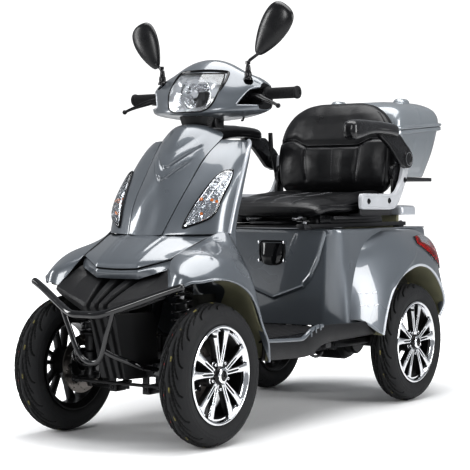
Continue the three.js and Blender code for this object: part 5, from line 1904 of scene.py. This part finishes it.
def make_backrest():
    table = np.array(BACK_OUTLINE, float)
    dense = spline_rows(len(table), 9) @ table
    rows = []
    for z, half, middle, thick in dense:
        ring = []
        for a in around(220):
            c, s = math.cos(a), math.sin(a)
            ring.append([half * power(c, 0.5), middle + thick * power(s, 0.75), z])
        rows.append(ring)
    points = np.array(rows)
    x, y, z = points[..., 0], points[..., 1], points[..., 2]
    middle = np.interp(z, table[:, 0], table[:, 2])
    front = ramp(middle - y, 4, 16)
    seam_z = 899 + 23 * ramp(np.abs(x), 98, 165) - 6 * ramp(np.abs(x), 190, 232)
    across = groove(z - seam_z, 15)
    lower = 1 - ramp(z, seam_z - 4, seam_z + 4)
    upright = np.zeros_like(x)
    for line in (-112, 0, 112):
        bend = line * (1 - 0.08 * ramp(seam_z - z, 20, 140))
        upright = np.maximum(upright, groove(x - bend, 13) * lower * ramp(z, 762, 785))
    puff = np.zeros_like(x)
    for a, b in ((-226, -112), (-112, 0), (0, 112), (112, 226)):
        t = np.clip((x - a) / (b - a), 0, 1)
        puff = np.maximum(puff, np.sin(math.pi * t) * (x > a) * (x < b))
    rise = np.clip((z - 752) / (seam_z - 752), 0, 1)
    shift = front * (7.5 * across + 5.0 * upright - lower * (5 + 4 * puff)
                     * np.sin(math.pi * np.clip(rise, 0, 1)) ** 0.6)
    top_pad = ramp(z, seam_z + 4, seam_z + 30) * (1 - ramp(z, 1010, 1050)) * (1 - ramp(np.abs(x), 150, 215))
    shift -= front * 4.0 * top_pad
    border = groove(np.abs(x) - np.interp(z, table[:, 0], table[:, 1]) * 0.93, 10) * (z > 760) * (z < 1020)
    shift += front * 3.0 * border
    points[..., 1] += shift + front * 1.4 * wrinkle(x, z, 5)
    rounded_back = ramp(y - middle, 10, 24)
    points[..., 1] += rounded_back * 2.5 * groove(z - 1000, 10)
    solid("backrest", points, "seat", LEATHER, ("backrest",), angle=60)
    ground = Ground(points, (0, 1, 0), True)
    threads = []
    for drop in (-6.0, 6.0):
        path = []
        for x_at in np.linspace(-224, 224, 170):
            height = 899 + 23 * float(ramp(abs(x_at), 98, 165)) - 6 * float(ramp(abs(x_at), 190, 232)) + drop
            path.append(tuple(ground.at(Vector((x_at, 400, height)), 0.3)))
        threads.append(stitch_part(path))
    for line in (-112, 0, 112):
        path = []
        for height in np.linspace(776, 890, 40):
            x_at = line * (1 - 0.08 * float(ramp(899 - height, 20, 140))) + 4.6
            path.append(tuple(ground.at(Vector((x_at, 400, height)), 0.3)))
        threads.append(stitch_part(path))
    merge("backrest_stitching", threads, "seat", THREAD)
    plate = []
    for z, half in ((770, 150), (800, 176), (900, 186), (970, 170), (1000, 140)):
        y_at = float(np.interp(z, table[:, 0], table[:, 2] + table[:, 3]))
        plate.append([[x_at, y_at + 1.5 - 3 * (abs(x_at) / half) ** 4, z]
                      for x_at in np.linspace(-half, half, 15)])
    shell("backrest_cover", surface(plate, 8, 2), "seat", BLACK, 3, inside=(0, 500, 880))


def make_seat_metal():
    plate = box_part((-205, 225, 640), (205, 560, 652), 3)
    sliders = [box_part((s * 150 - 14, 180, 627), (s * 150 + 14, 640, 641), 2) for s in (-1, 1)]
    tabs = [box_part((min(s * 200, s * 254), 330, 652), (max(s * 200, s * 254), 540, 660), 2)
            for s in (-1, 1)]
    ears = [box_part((min(s * 246, s * 254), 318, 655), (max(s * 246, s * 254), 545, 716), 2)
            for s in (-1, 1)]
    post = [[150, 540, 645], [150, 612, 652], [150, 646, 690], [150, 656, 740], [150, 672, 800]]
    posts = [tube_part(mirrored(post, s), 10, 8, 16) for s in (-1, 1)]
    rack = [box_part((s * 137 - 25, 660, 776), (s * 137 + 25, 1040, 790), 2) for s in (-1, 1)]
    cross = [box_part((-150, 700, 776), (150, 730, 790), 2), box_part((-150, 1010, 776), (150, 1040, 790), 2)]
    back = box_part((-160, 664, 776), (160, 674, 900), 2)
    parts = [plate, *sliders, *tabs, *ears, *posts, *rack, *cross, back]
    merge("seat_frame", parts, "seat", FRAME_STEEL, ("seat_frame",))
    rails = [box_part((s * 150 - 16, 100, 612), (s * 150 + 16, 820, 626), 2) for s in (-1, 1)]
    rails += [box_part((-150, y, 612), (150, y + 30, 620), 2) for y in (130, 640, 790)]
    feet = [box_part((s * 150 - 12, y, 606.4), (s * 150 + 12, y + 40, 614), 1) for s in (-1, 1)
            for y in (110, 770)]
    rails += [bolt_part((s * 150, y, 626), (0, 0, 1), 5, 4) for s in (-1, 1) for y in (112, 808)]
    merge("seat_rails", rails + feet, "root", FRAME_STEEL, ("seat_rails",))
    boxes = [box_part((s * 150 - 22, 192, 628), (s * 150 + 22, 262, 656), 3) for s in (-1, 1)]
    boxes += [box_part((s * 120 - 16, 300, 652), (s * 120 + 16, 500, 664), 3) for s in (-1, 1)]
    merge("slider_locks", boxes, "seat", FINE_BLACK)
    springs = [coil_part((s * 92, 150, 642), (s * 92, 226, 642), 6, 1.2, 14) for s in (-1, 1)]
    merge("return_springs", springs, "seat", SATIN_STEEL)
    half_bar = [[60, 215, 630], [60, 150, 630], [56, 112, 630], [34, 93, 630], [0, 91, 630]]
    bar = tube_part(half_bar + [[-x, y, z] for x, y, z in half_bar[-2::-1]], 4, 8, 12)
    merge("slide_lever", [bar], "slide_lever", FRAME_STEEL, ("slide_lever",))
    rod = tube_part([[-246, 580, 770], [-246, 562, 815], [-246, 545, 860], [-246, 536, 905],
                     [-246, 531, 930]], 5, 8, 14)
    knob = tube_part([[-246, 537, 886], [-246, 533, 915], [-246, 530, 954]], [7.5, 8.5, 8.0], 8, 18)
    merge("recline_lever", [rod, knob], "recline_lever", FINE_BLACK, ("recline_lever",))
    profile = [[0, -9], [34, -9], [36, -6], [36, 6], [34, 9], [0, 9]]
    hinge = [turned_part(profile, (s * 240, 596, 800), (1, 0, 0), 36) for s in (-1, 1)]
    hinge += [box_part((s * 240 - 5, 566, 700), (s * 240 + 5, 606, 800), 3) for s in (-1, 1)]
    merge("recline_hinges", hinge, "seat", FINE_BLACK)
    wire = tube_part([[138, 122, 648], [146, 116, 640], [156, 112, 632], [170, 116, 624], [182, 128, 612]],
                     1.4, 8, 8)
    merge("seat_wire", [wire], "root", CABLE)
    plugs = [ball_part((136, 122, 650), 6, (1.5, 1, 1)), ball_part((160, 111, 630), 5, (1.5, 1, 1))]
    merge("seat_plugs", plugs, "root", WHITE)


def coil_part(start, end, radius, wire, turns, per=20, ring=8):
    """An unfinished coil spring between two points, with flat ends."""
    start, end = np.array(start, float), np.array(end, float)
    axis = Vector(end - start).normalized()
    a = axis.orthogonal().normalized()
    b = axis.cross(a)
    steps = int(turns * per)
    t = np.linspace(0, 1, steps + 1)
    angle = t * turns * 2 * math.pi
    flat = np.clip(np.minimum(t, 1 - t) * turns, 0, 1)
    travel = np.cumsum(flat)
    travel = (travel - travel[0]) / (travel[-1] - travel[0])
    outward = np.cos(angle)[:, None] * np.array(a) + np.sin(angle)[:, None] * np.array(b)
    path = start + travel[:, None] * (end - start) + radius * outward
    tangent = np.gradient(path, axis=0)
    tangent /= np.linalg.norm(tangent, axis=1, keepdims=True)
    return capped("coil", rings_about(path, outward, np.cross(tangent, outward), wire, ring))


BRACKET = [
    [301, 700], [301, 683], [306, 676], [320, 673], [430, 672], [516, 671], [546, 677], [572, 698],
    [600, 734],
    [626, 776], [640, 806], [646, 838], [646, 872], [606, 876], [604, 846], [601, 812], [588, 780],
    [566, 748],
    [545, 732], [520, 727], [420, 727], [320, 728], [306, 725], [301, 716],
]
ARM = [
    [388, 934], [400, 922], [430, 908], [462, 894], [500, 866], [548, 828], [572, 822], [600, 819],
    [622, 828],
    [632, 850], [628, 872], [612, 890], [585, 905], [556, 925], [538, 936],
]


def ridged_plate(outline, count, steps, side, ridge_x, ridge_in, ridge_radius):
    """A moulded plate across x and the ridge along its edge, unfinished.

    Each step is how far the outline has drawn in and the x it has reached."""
    loop = resample(smooth_ring(np.array(outline, float), 12, 5), count)
    inward = inward_normals(loop)
    rings = []
    for shrink, x in steps:
        rings.append([[x * side, y, z] for y, z in loop + inward * shrink])
    drawn_in = (loop + inward * ridge_in)[::2]
    ridge = loop_part([[ridge_x * side, y, z] for y, z in drawn_in], ridge_radius, 8)
    return [capped("plate", np.array(rings)), ridge]


def make_side_bracket(word, side):
    steps = ((2.5, 254), (0, 256), (0, 264), (1.2, 267), (3.5, 269), (5, 269.4))
    parts = ridged_plate(BRACKET, 220, steps, side, 269.2, 9.5, 1.5)
    merge(f"side_bracket_{word}", parts, "seat", WHITE, (f"side_bracket_{word}",), 40)
    places = ((348, 701), (495, 703), (611, 776))
    bolts = [bolt_part((269.4 * side, y, z), (side, 0, 0), 7.0, 4.5) for y, z in places]
    merge(f"bracket_bolts_{word}", bolts, "seat", GLOSS_BLACK, ())


PAD = [  # y, inner x, outer x, underside, top
    [176, 276, 296, 928, 944], [179, 268, 304, 916, 956], [186, 261, 311, 908, 964],
    [200, 257, 315, 904, 969], [226, 255, 316, 907, 972],
    [266, 254, 316, 916, 973], [310, 255, 315, 924, 973], [370, 256, 314, 928, 973],
    [430, 257, 313, 928, 971], [476, 259, 311, 925, 968],
    [496, 263, 307, 924, 961], [505, 269, 301, 930, 953], [508, 277, 293, 937, 946],
]


def make_armrest(word, side):
    body = f"armrest_{word}"
    dense = spline_rows(len(PAD), 7) @ np.array(PAD, float)
    rows = []
    for y, inner, outer, low, top in dense:
        ring = []
        for a in around(72):
            c, s = math.cos(a), math.sin(a)
            x = (inner + outer) / 2 + (outer - inner) / 2 * power(c, 0.66)
            z = (low + top) / 2 + (top - low) / 2 * power(s, 0.72)
            ring.append([x * side, y, z])
        rows.append(ring)
    points = np.array(rows)
    z = points[..., 2]
    seam = groove(z - 944, 5)
    middle_x = 285 * side
    points[..., 0] -= np.sign(points[..., 0] - middle_x) * 1.6 * seam * (points[..., 1] > 190)
    points[..., 2] += 0.8 * wrinkle(points[..., 0], points[..., 1], 7) * (z > 950)
    solid(f"armrest_pad_{word}", points, body, SOFT_PAD, (f"armrest_{word}",), angle=60)
    steps = ((4, 270), (0.6, 272), (0, 275), (0, 283), (0.8, 286), (3, 288.2), (4.5, 288.6))
    parts = ridged_plate(ARM, 160, steps, side, 288.4, 9.0, 1.4)
    pivot = (268 * side, 600, 850)
    profile = [
        [0, -1], [31, -1], [32.5, 2], [32.5, 20], [31, 23], [27, 24.5], [24, 24.8], [23, 23.6], [22, 21.8],
        [12, 21.4], [0, 22.2],
    ]
    parts.append(turned_part(profile, pivot, (side, 0, 0), 60))
    merge(f"armrest_{word}", parts, body, FINE_BLACK, (), 40)
    profile = [[22.6, 21.0], [24.2, 21.0], [24.2, 25.4], [22.6, 25.4], [22.6, 21.0]]
    ring = turned_part(profile, pivot, (side, 0, 0), 60)
    merge(f"armrest_cap_ring_{word}", [ring], body, SATIN_STEEL)


THREAD = gloss("thread", (0.20, 0.20, 0.21), 0.0, 0.5, 0.1)
SOFT_PAD = moulded("soft_pad", (0.006, 0.006, 0.007), 0.22, 700, 0.12, 0.6)
make_cushion()
make_backrest()
make_seat_metal()
for word, sign in SIDES.items():
    make_side_bracket(word, sign)
    make_armrest(word, sign)


# ---------------------------------------------------------------- top box
def box_ring(z_front, z_back, front, back, half, front_round, back_round):
    """A rounded oblong about the luggage box, level across and rising from its front to its back."""
    corners = np.array([[half, front], [half, back], [-half, back], [-half, front]], float)
    out = []
    for i, corner in enumerate(corners):
        radius = front_round if i in (0, 3) else back_round
        before, after = corners[i - 1] - corner, corners[(i + 1) % 4] - corner
        start = corner + before / np.linalg.norm(before) * radius
        stop = corner + after / np.linalg.norm(after) * radius
        for t in np.linspace(0, 1, 14):
            out.append((1 - t) ** 2 * start + 2 * t * (1 - t) * corner + t**2 * stop)
    ring = resample(np.array(out), 200)
    slope = (ring[:, 1] - front) / (back - front)
    return np.concatenate([ring, (z_front + (z_back - z_front) * slope)[:, None]], axis=1)


# front and back height, front and back end, half width, front and back corner radius
TOP_BOX = [
    [792, 793, 776, 982, 165, 30, 60], [796, 797, 768, 990, 170, 34, 66], [830, 836, 742, 1000, 184, 38, 72],
    [880, 892, 704, 1016, 200, 40, 78], [928, 952, 676, 1030, 211, 42, 84],
    [944, 972, 668, 1036, 214, 44, 88],
]
TOP_BOX_RIM = [
    [940, 972, 660, 1046, 219, 46, 96], [942, 974, 654, 1052, 225, 46, 96],
    [953, 986, 654, 1052, 225, 46, 96],
    [955.5, 988.5, 657, 1049, 222, 46, 96], [955.5, 988.5, 672, 1032, 209, 46, 96],
    [950, 982, 674, 1030, 207, 46, 96],
]
TOP_BOX_LID = [
    [956.5, 989.5, 656, 1050, 222, 46, 96], [958.5, 991.5, 653, 1053, 226, 46, 96],
    [967, 999, 653, 1053, 226, 46, 96], [969, 1001, 660, 1045, 219, 46, 96],
    [986, 1012, 661, 1043, 217, 46, 96], [1014, 1032, 669, 1034, 212, 46, 94],
    [1038, 1049, 684, 1013, 200, 46, 88], [1055, 1063, 710, 974, 176, 44, 78],
    [1064, 1070, 748, 928, 138, 34, 60], [1067, 1072, 800, 870, 70, 18, 24],
]


def box_rings(table):
    return np.array([box_ring(*row) for row in table])


def make_top_box():
    rings = box_rings(spline_rows(len(TOP_BOX), 8) @ np.array(TOP_BOX, float))
    x, y, z = rings[..., 0], rings[..., 1], rings[..., 2]
    rib = ramp(z, 806, 830) * (1 - ramp(z, 916, 936))
    rings[..., 0] += np.sign(x) * 3.0 * rib * ramp(y, 800, 815) * (1 - ramp(y, 900, 915)) * (np.abs(x) > 120)
    middle = np.array([0, 852.0])
    inner = rings.copy()
    inner[..., :2] = middle + (rings[..., :2] - middle) * 0.965
    inner[..., 2] += 4 * (1 - np.linspace(0, 1, len(rings)))[:, None]
    walls = np.concatenate([rings, box_rings(TOP_BOX_RIM), inner[::-1]])
    solid("top_box", walls, "seat", BOX_GREY, ("top_box",), angle=40)
    rings = box_rings(spline_rows(len(TOP_BOX_LID), 7) @ np.array(TOP_BOX_LID, float))
    x, y, z = rings[..., 0], rings[..., 1], rings[..., 2]
    seam = groove(y - (846 - 12 * (np.abs(x) / 220)), 12) * (z > 985)
    rings[..., 2] -= 3.6 * seam
    rings[..., 0] -= np.sign(x) * 2.4 * seam
    crown = ramp(z, 1000, 1020)
    across, along = 1 - ramp(np.abs(x), 96, 112), ramp(y, 700, 720) * (1 - ramp(y, 960, 980))
    rings[..., 2] += 2.5 * crown * across * along
    solid("top_box_lid", rings, "box_lid", BOX_GREY, ("top_box_lid",), angle=40)
    hump = []
    for u, half_x, height in ((0, 60, 0), (0.25, 58, 7), (0.5, 52, 12), (0.8, 40, 15.5), (1, 22, 16.5)):
        ring = []
        for a in around(40):
            x = 134 + half_x * 0.5 * power(math.cos(a), 0.8)
            y = 840 + (36 - 14 * u) * power(math.sin(a), 0.8)
            ring.append([x, y, 1052 + height * 1.8])
        hump.append(ring)
    solid("lid_handle", np.array(hump), "box_lid", BOX_GREY, (), angle=40)
    hump_right = np.array(hump) * [-1, 1, 1]
    solid("lid_handle_right", hump_right, "box_lid", BOX_GREY, (), angle=40)
    lock = turned_part([[0, -3], [17, -3], [17, 4], [15, 6], [7, 6], [6, 4], [0, 4]], (0, 664, 925),
                       (0, -1, 0.15), 32)
    merge("top_box_lock", [lock], "seat", CHROME, ())
    hinges = [box_part((s * 110 - 26, 1042, 972), (s * 110 + 26, 1052, 990), 3) for s in (-1, 1)]
    merge("top_box_hinges", hinges, "seat", BLACK)
    strip = []
    for side in (-1, 1):
        strip.append(box_part((side * 70 - 24, 1034, 880), (side * 70 + 24, 1042, 906), 3))
    merge("top_box_reflectors", strip, "seat", RED, ())


make_top_box()


# ---------------------------------------------------------------- running gear
STRUT_X = 170
UP = (0, 0, 1)


def make_front_suspension(word, side):
    y = -HALF_BASE
    x = STRUT_X * side
    strut_body = f"strut_{word}"
    tube = [
        [0, 252], [20, 252], [21, 256], [21, 296], [24, 298], [24, 304], [20, 306], [20, 410], [18, 417],
        [10, 420], [0, 420],
    ]
    seat = [[18, 300], [36, 300], [38, 303], [38, 306], [34, 309], [18, 309], [18, 300]]
    parts = [turned_part(tube, (x, y, 0), UP, 36), turned_part(seat, (x, y, 0), UP, 40)]
    merge(f"strut_{word}", parts, strut_body, BLACK_STEEL, (f"strut_{word}",))
    rod = turned_part([[0, 420], [7, 420], [7, 470], [0, 470]], (x, y, 0), UP, 20)
    top = turned_part([[0, 466], [34, 466], [36, 469], [36, 477], [30, 480], [0, 480]], (x, y, 0), UP, 40)
    merge(f"strut_top_{word}", [rod, top], "root", SATIN_STEEL)
    spring_low, spring_high = (x, y, 311), (x, y, 464)
    coil = coil_part(spring_low, spring_high, 29, 4.4, 7.5, 28, 10)
    bend_between(merge(f"spring_{word}", [coil], "root", SPRING))
    body = f"knuckle_{word}"
    profile = [
        [0, 165], [20, 165], [24, 170], [24, 182], [20, 190], [20, 226], [24, 234], [24, 246], [21, 249],
        [0, 249],
    ]
    upright = turned_part(profile, (x, y, 0), UP, 36)
    profile = [[0, 0], [26, 0], [26, 10], [16, 16], [13, 34], [8, 36], [8, 124], [0, 124]]
    stub = turned_part(profile, (x, y, HUB_Z), (side, 0, 0), 30)
    arm = tube_part([[x, y, 172], [x + 2 * side, y - 36, 172], [x, y - 70, 172]], [9, 7, 7], 6, 14)
    eye = turned_part([[0, 164], [10, 164], [11, 167], [11, 177], [10, 180], [0, 180]], (x, y - 70, 0), UP,
                      24)
    low, high = sorted((x, x + side * 34))
    ear = box_part((low, y + 4, HUB_Z + 8), (high, y + 46, HUB_Z + 28), 3)
    merge(body, [upright, stub, arm, eye, ear], body, BLACK_STEEL, (body,))
    make_caliper(word, side, body)
    path = [(180, 66, 60), (172, 52, 100), (158, 40, 150), (140, 36, 200), (128, 38, 232)]
    path = [(out * side, y + back, HUB_Z + up) for out, back, up in path]
    hose = merge(f"brake_hose_{word}", [tube_part(path, 3.4, 8, 10)], "root", CABLE)
    bend_between(hose)
    sleeve = [[9, -22], [14, -22], [15, -20], [15, 20], [14, 22], [9, 22], [9, -22]]
    arm_parts = [turned_part(sleeve, (62 * side, y, 150), (0, 1, 0), 28)]
    for lean in (-1, 1):
        path = [(62 * side, y + lean * 15, 150), (110 * side, y + lean * 13, 150),
                (160 * side, y + lean * 4, 151)]
        arm_parts.append(tube_part(path, [7, 6.5, 8], 6, 12))
    ball_joint = [[0, -8], [13, -8], [14, -6], [14, 5], [11, 8], [0, 8]]
    arm_parts.append(turned_part(ball_joint, (170 * side, y, 151), UP, 28))
    arm_name = f"lower_arm_{word}"
    merge(arm_name, arm_parts, arm_name, BLACK_STEEL, (arm_name,))
    nut = bolt_part((62 * side, y - 31, 150), (0, -1, 0), 7, 6)
    merge(f"arm_bolt_{word}", [nut], "root", BLACK_STEEL)


def make_caliper(word, side, body):
    """A caliper over the brake disc, with its bolts and the fitting of the hose."""
    y = -HALF_BASE
    parts = []
    for a, b in ((194, 205.5), (212.5, 226)):
        low, high = sorted((a * side, b * side))
        parts.append(box_part((low, y + 34, HUB_Z - 22), (high, y + 92, HUB_Z + 44), 5, 3))
    low, high = sorted((200 * side, 218 * side))
    parts.append(box_part((low, y + 88, HUB_Z - 14), (high, y + 98, HUB_Z + 36), 3))
    for face_x, way in ((194, -side), (226, side)):
        profile = [[0, -2], [13, -2], [13, 4], [11, 6], [0, 6]]
        parts.append(turned_part(profile, (face_x * side, y + 62, HUB_Z + 10), (way, 0, 0), 24))
    merge(f"caliper_{word}", parts, body, CALIPER)
    bolts = [bolt_part((192 * side, y + 60, HUB_Z + z), (-side, 0, 0), 5, 4) for z in (-12, 34)]
    profile = [[0, -4], [6, -4], [6, 8], [4.5, 10], [0, 10]]
    banjo = turned_part(profile, (190 * side, y + 74, HUB_Z + 22), (-side, 0, 0), 6)
    path = [(190, 74, 24), (184, 74, 40), (180, 66, 62)]
    fitting = tube_part([(out * side, y + back, HUB_Z + up) for out, back, up in path], 4, 6, 10)
    merge(f"caliper_bolts_{word}", [*bolts, banjo, fitting], body, SATIN_STEEL)


def bend_between(obj):
    """Takes a piece off its body again, so that it belongs to no body."""
    world = obj.matrix_world.copy()
    obj.parent = None
    obj.matrix_world = world
    if "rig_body" in obj:
        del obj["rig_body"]
    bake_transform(obj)


def make_tie_rod():
    y = -HALF_BASE - 86
    bar = tube_part([[-150, y, 172], [0, y, 172], [150, y, 172]], 5, 4, 14)
    ends = []
    for s in (-1, 1):
        ends.append(turned_part([[5, 0], [8, 0], [8, 14], [5, 15], [5, 0]], (s * 140, y, 172), (s, 0, 0), 6))
        ends.append(ball_part((s * 170, y + 6, 172), 10, (1, 1, 0.8)))
        ends.append(tube_part([[s * 148, y, 172], [s * 160, y, 172], [s * 168, y + 4, 172]], 5, 4, 12))
    tab = box_part((-8, y, 168), (8, y + 60, 176), 2)
    merge("tie_rod", [bar, tab, *ends], "tie_rod", BLACK_STEEL, ("tie_rod",))


def make_rear_axle():
    y, z = HALF_BASE, HUB_Z
    profile = [
        [0, -222], [24, -222], [26, -218], [26, -120], [22, -110], [22, 110], [26, 120], [26, 218], [24, 222],
        [0, 222],
    ]
    beam = turned_part(profile, (0, y, z), (1, 0, 0), 36)
    shaft = turned_part([[0, -315], [8, -315], [8, 315], [0, 315]], (0, y, z), (1, 0, 0), 20)
    profile = [[0, -72], [60, -72], [70, -66], [74, -56], [74, 50], [70, 60], [58, 66], [0, 66]]
    motor = turned_part(profile, (0, y, z), (1, 0, 0), 56)
    fins = []
    for x in range(-50, 48, 9):
        profile = [[70, x], [78, x], [78, x + 3], [70, x + 3], [70, x]]
        fins.append(turned_part(profile, (0, y, z), (1, 0, 0), 56))
    gear = turned_part([[0, 60], [52, 60], [56, 64], [56, 92], [50, 98], [0, 98]], (0, y, z), (1, 0, 0), 48)
    merge("rear_axle", [beam, shaft, motor, gear, *fins], "rear_axle", BLACK_STEEL, ("rear_axle",))
    arms = []
    for s in (-1, 1):
        path = [[s * 145, 320, 210], [s * 145, 400, 206], [s * 145, 520, 205], [s * 145, 583, 207]]
        arms.append(tube_part(path, 11, 6, 14))
        sleeve = [[10, -12], [17, -12], [18, -10], [18, 10], [17, 12], [10, 12], [10, -12]]
        arms.append(turned_part(sleeve, (s * 145, 320, 210), (1, 0, 0), 28))
        arms.append(box_part((s * 150 - 14, 596, 214), (s * 150 + 14, 634, 236), 3))
    merge("swing_arms", arms, "rear_axle", FRAME_STEEL)
    for word, s in SIDES.items():
        drum = turned_part([[0, 0], [62, 0], [66, 3], [66, 26], [60, 30], [0, 30]], (s * 218, y, z),
                           (s, 0, 0), 48)
        lever = box_part((s * 212 - 4, y - 8, z + 4), (s * 212 + 4, y + 8, z + 84), 3)
        merge(f"drum_brake_{word}", [drum, lever], "rear_axle", BLACK_STEEL)
        low, high = (s * 150, 617, 236), (s * 150, 640, 444)
        coil_low, coil_high = (s * 150, 620, 262), (s * 150, 637, 412)
        coil = merge(f"rear_spring_{word}", [coil_part(coil_low, coil_high, 25, 4.2, 8, 26, 10)], "root",
                     SPRING)
        bend_between(coil)
        axis = (Vector(high) - Vector(low)).normalized()
        lower = turned_part([[0, 0], [12, 0], [12, 20], [30, 22], [30, 27], [16, 29], [16, 108], [0, 110]],
                            low, axis, 32)
        merge(f"rear_shock_body_{word}", [lower], "rear_axle", BLACK_STEEL)
        rod = turned_part([[0, -110], [6, -110], [6, -36], [30, -34], [30, -29], [12, -27], [12, 0],
                           [0, 0]], high, axis, 28)
        merge(f"rear_shock_rod_{word}", [rod], "root", SATIN_STEEL)


def keep_frame_look(node, material):
    """The CAD piece itself is shown, with softened edges and its own finish."""
    obj = frame["nodes"][node]
    obj.data.materials.clear()
    obj.data.materials.append(material)
    modify(obj, "BEVEL", width=1.6 * MM, segments=2, limit_method="ANGLE", angle_limit=math.radians(50))


def make_underside():
    keep_frame_look("chassis_frame", FRAME_STEEL)
    body = box_part((-84, 218, 297), (84, 478, 500), 8, 3)
    lid = box_part((-87, 215, 488), (87, 481, 520), 6, 3)
    ribs = [box_part((x - 3, 215.5, 305), (x + 3, 480.5, 484), 1.5) for x in range(-70, 71, 28)]
    merge("battery_pack", [body, lid, *ribs], "root", BLACK, ("battery_pack",))
    strap = [box_part((-86.5, y, 300), (86.5, y + 22, 522), 2) for y in (270, 400)]
    merge("battery_straps", strap, "root", RUBBER)
    controller = box_part((-70, -60, 228), (70, 90, 262), 4)
    fins = [box_part((-66, y, 222), (66, y + 4, 230), 1) for y in range(-54, 86, 10)]
    merge("motor_controller", [controller, *fins], "root", SATIN_STEEL)
    cables = []
    for k, x in enumerate((-30, -14, 2, 18)):
        path = [[x, 90, 244], [x + 6, 180, 238 - k * 3], [x * 1.4, 300, 232], [x, 420, 246],
                [x * 0.6, 500, 222]]
        cables.append(tube_part(path, 4, 8, 10))
    merge("motor_cables", cables, "root", CABLE)
    path = [[60, -480, 452], [66, -430, 380], [70, -380, 300], [60, -250, 258], [40, -60, 248]]
    loom = [tube_part(mirrored(path, s), 5, 8, 10) for s in (-1, 1)]
    merge("front_loom", loom, "root", CABLE)
    guard = [
        [[96, -560, 200], [96, -520, 300], [96, -480, 420]],
        [[110, -470, 200], [110, -440, 300], [110, -400, 420]],
        [[124, -352, 200], [124, -348, 300], [124, -350, 420]],
    ]
    for word, s in SIDES.items():
        bits = [
            box_part((s * 262 - 14, -40, 214), (s * 262 + 14, -10, 250), 3),
            box_part((s * 262 - 10, 60, 226), (s * 262 + 10, 96, 252), 3),
            tube_part([[s * 262, -26, 218], [s * 262, 0, 206], [s * 262, 30, 204], [s * 262, 52, 214]], 5,
                      6, 12),
        ]
        merge(f"sill_brackets_{word}", bits, "root", FRAME_STEEL)
        cover = surface(mirrored(guard, s), 6, 6)
        shell(f"side_guard_{word}", cover, "root", DARK_LINER, 2.5, edge=0, inside=(0, -450, 300))


SPRING = gloss("spring_steel", (0.02, 0.02, 0.022), 0.3, 0.16)
CALIPER = moulded("cast_caliper", (0.03, 0.03, 0.032), 0.38, 420, 0.5)
for word, sign in SIDES.items():
    make_front_suspension(word, sign)
make_tie_rod()
make_rear_axle()
make_underside()


# ---------------------------------------------------------------- stage, light and camera
CAMERA_AZIMUTH, CAMERA_HEIGHT = math.radians(34.32), math.radians(1.44)  # from the front, towards +X and up
CAMERA_DISTANCE = 4.647
CAMERA_TARGET = (-0.029, -0.020 + MID_Y, 0.590)
LENS = 107.9
# name, place, target, size and power of each lamp
LAMPS = [
    ("top", (0.3, 0.0, 3.4), (0.1, 0, 0.4), (2.4, 3.4), 105),
    ("left_bank", (-3.4, -2.2, 1.9), (0, 0, 0.6), (0.9, 2.4), 52),
    ("right_bank", (3.6, 0.2, 1.6), (0, 0, 0.6), (1.4, 2.2), 70),
    ("front_bank", (0.4, -4.4, 2.2), (0, -0.4, 0.7), (1.1, 1.7), 46),
]


def make_stage():
    """A white floor that fades to plain white away from the object, as the camera sees it."""
    size = 14.0
    mesh = bpy.data.meshes.new("floor")
    vertices = [(-size, -size, 0), (size, -size, 0), (size, size, 0), (-size, size, 0)]
    faces = [(0, 1, 2, 3)]
    mesh.from_pydata(vertices, [], faces)
    floor = bpy.data.objects.new("floor", mesh)
    bpy.context.scene.collection.objects.link(floor)
    g = Graph("floor_white")
    squeezed = g.stretched((1.2, 0.75, 1))
    reach = g.add("ShaderNodeVectorMath", operation="LENGTH")
    g.link(squeezed, reach.inputs[0])
    fade = g.span(reach.outputs["Value"], 0.62, 1.35)
    seen = g.math("MULTIPLY", fade, g.add("ShaderNodeLightPath").outputs["Is Camera Ray"])
    tone = g.mix(g.noise(40, 3), (0.93, 0.93, 0.93), (0.95, 0.95, 0.95))
    g.set(Base_Color=tone, Roughness=0.6, Specular_IOR_Level=0.2, Emission_Color=(1, 1, 1, 1),
          Emission_Strength=seen)
    mesh.materials.append(g.material)


def area_light(name, place, target, size, power):
    light = bpy.data.lights.new(name, "AREA")
    light.shape = "RECTANGLE"
    light.size, light.size_y = size
    light.energy = power
    obj = bpy.data.objects.new(name, light)
    obj.location = place
    obj.rotation_euler = (Vector(target) - Vector(place)).to_track_quat("-Z", "Y").to_euler()
    bpy.context.scene.collection.objects.link(obj)
    return obj


def make_lights():
    bpy.context.scene.view_settings.view_transform = "Standard"
    bpy.context.scene.view_settings.look = "Medium High Contrast"
    world = bpy.data.worlds.new("studio")
    world.use_nodes = True
    tree = world.node_tree
    seen, lit = tree.nodes["Background"], tree.nodes.new("ShaderNodeBackground")
    seen.inputs[0].default_value = (1, 1, 1, 1)
    seen.inputs[1].default_value = 1.0
    lit.inputs[0].default_value = (0.93, 0.96, 1.0, 1)
    lit.inputs[1].default_value = 0.30
    path, mix = tree.nodes.new("ShaderNodeLightPath"), tree.nodes.new("ShaderNodeMixShader")
    tree.links.new(path.outputs["Is Camera Ray"], mix.inputs[0])
    tree.links.new(lit.outputs[0], mix.inputs[1])
    tree.links.new(seen.outputs[0], mix.inputs[2])
    tree.links.new(mix.outputs[0], tree.nodes["World Output"].inputs[0])
    bpy.context.scene.world = world
    for lamp in LAMPS:
        area_light(*lamp)


def make_camera():
    flat = math.cos(CAMERA_HEIGHT)
    away = Vector((
        math.sin(CAMERA_AZIMUTH) * flat, -math.cos(CAMERA_AZIMUTH) * flat, math.sin(CAMERA_HEIGHT)
    ))
    data = bpy.data.cameras.new("camera")
    data.lens = LENS
    data.sensor_width = 36
    camera = bpy.data.objects.new("camera", data)
    camera.location = Vector(CAMERA_TARGET) + away * CAMERA_DISTANCE
    camera.rotation_euler = (-away).to_track_quat("-Z", "Y").to_euler()
    bpy.context.scene.collection.objects.link(camera)
    bpy.context.scene.camera = camera


make_stage()
make_lights()
make_camera()
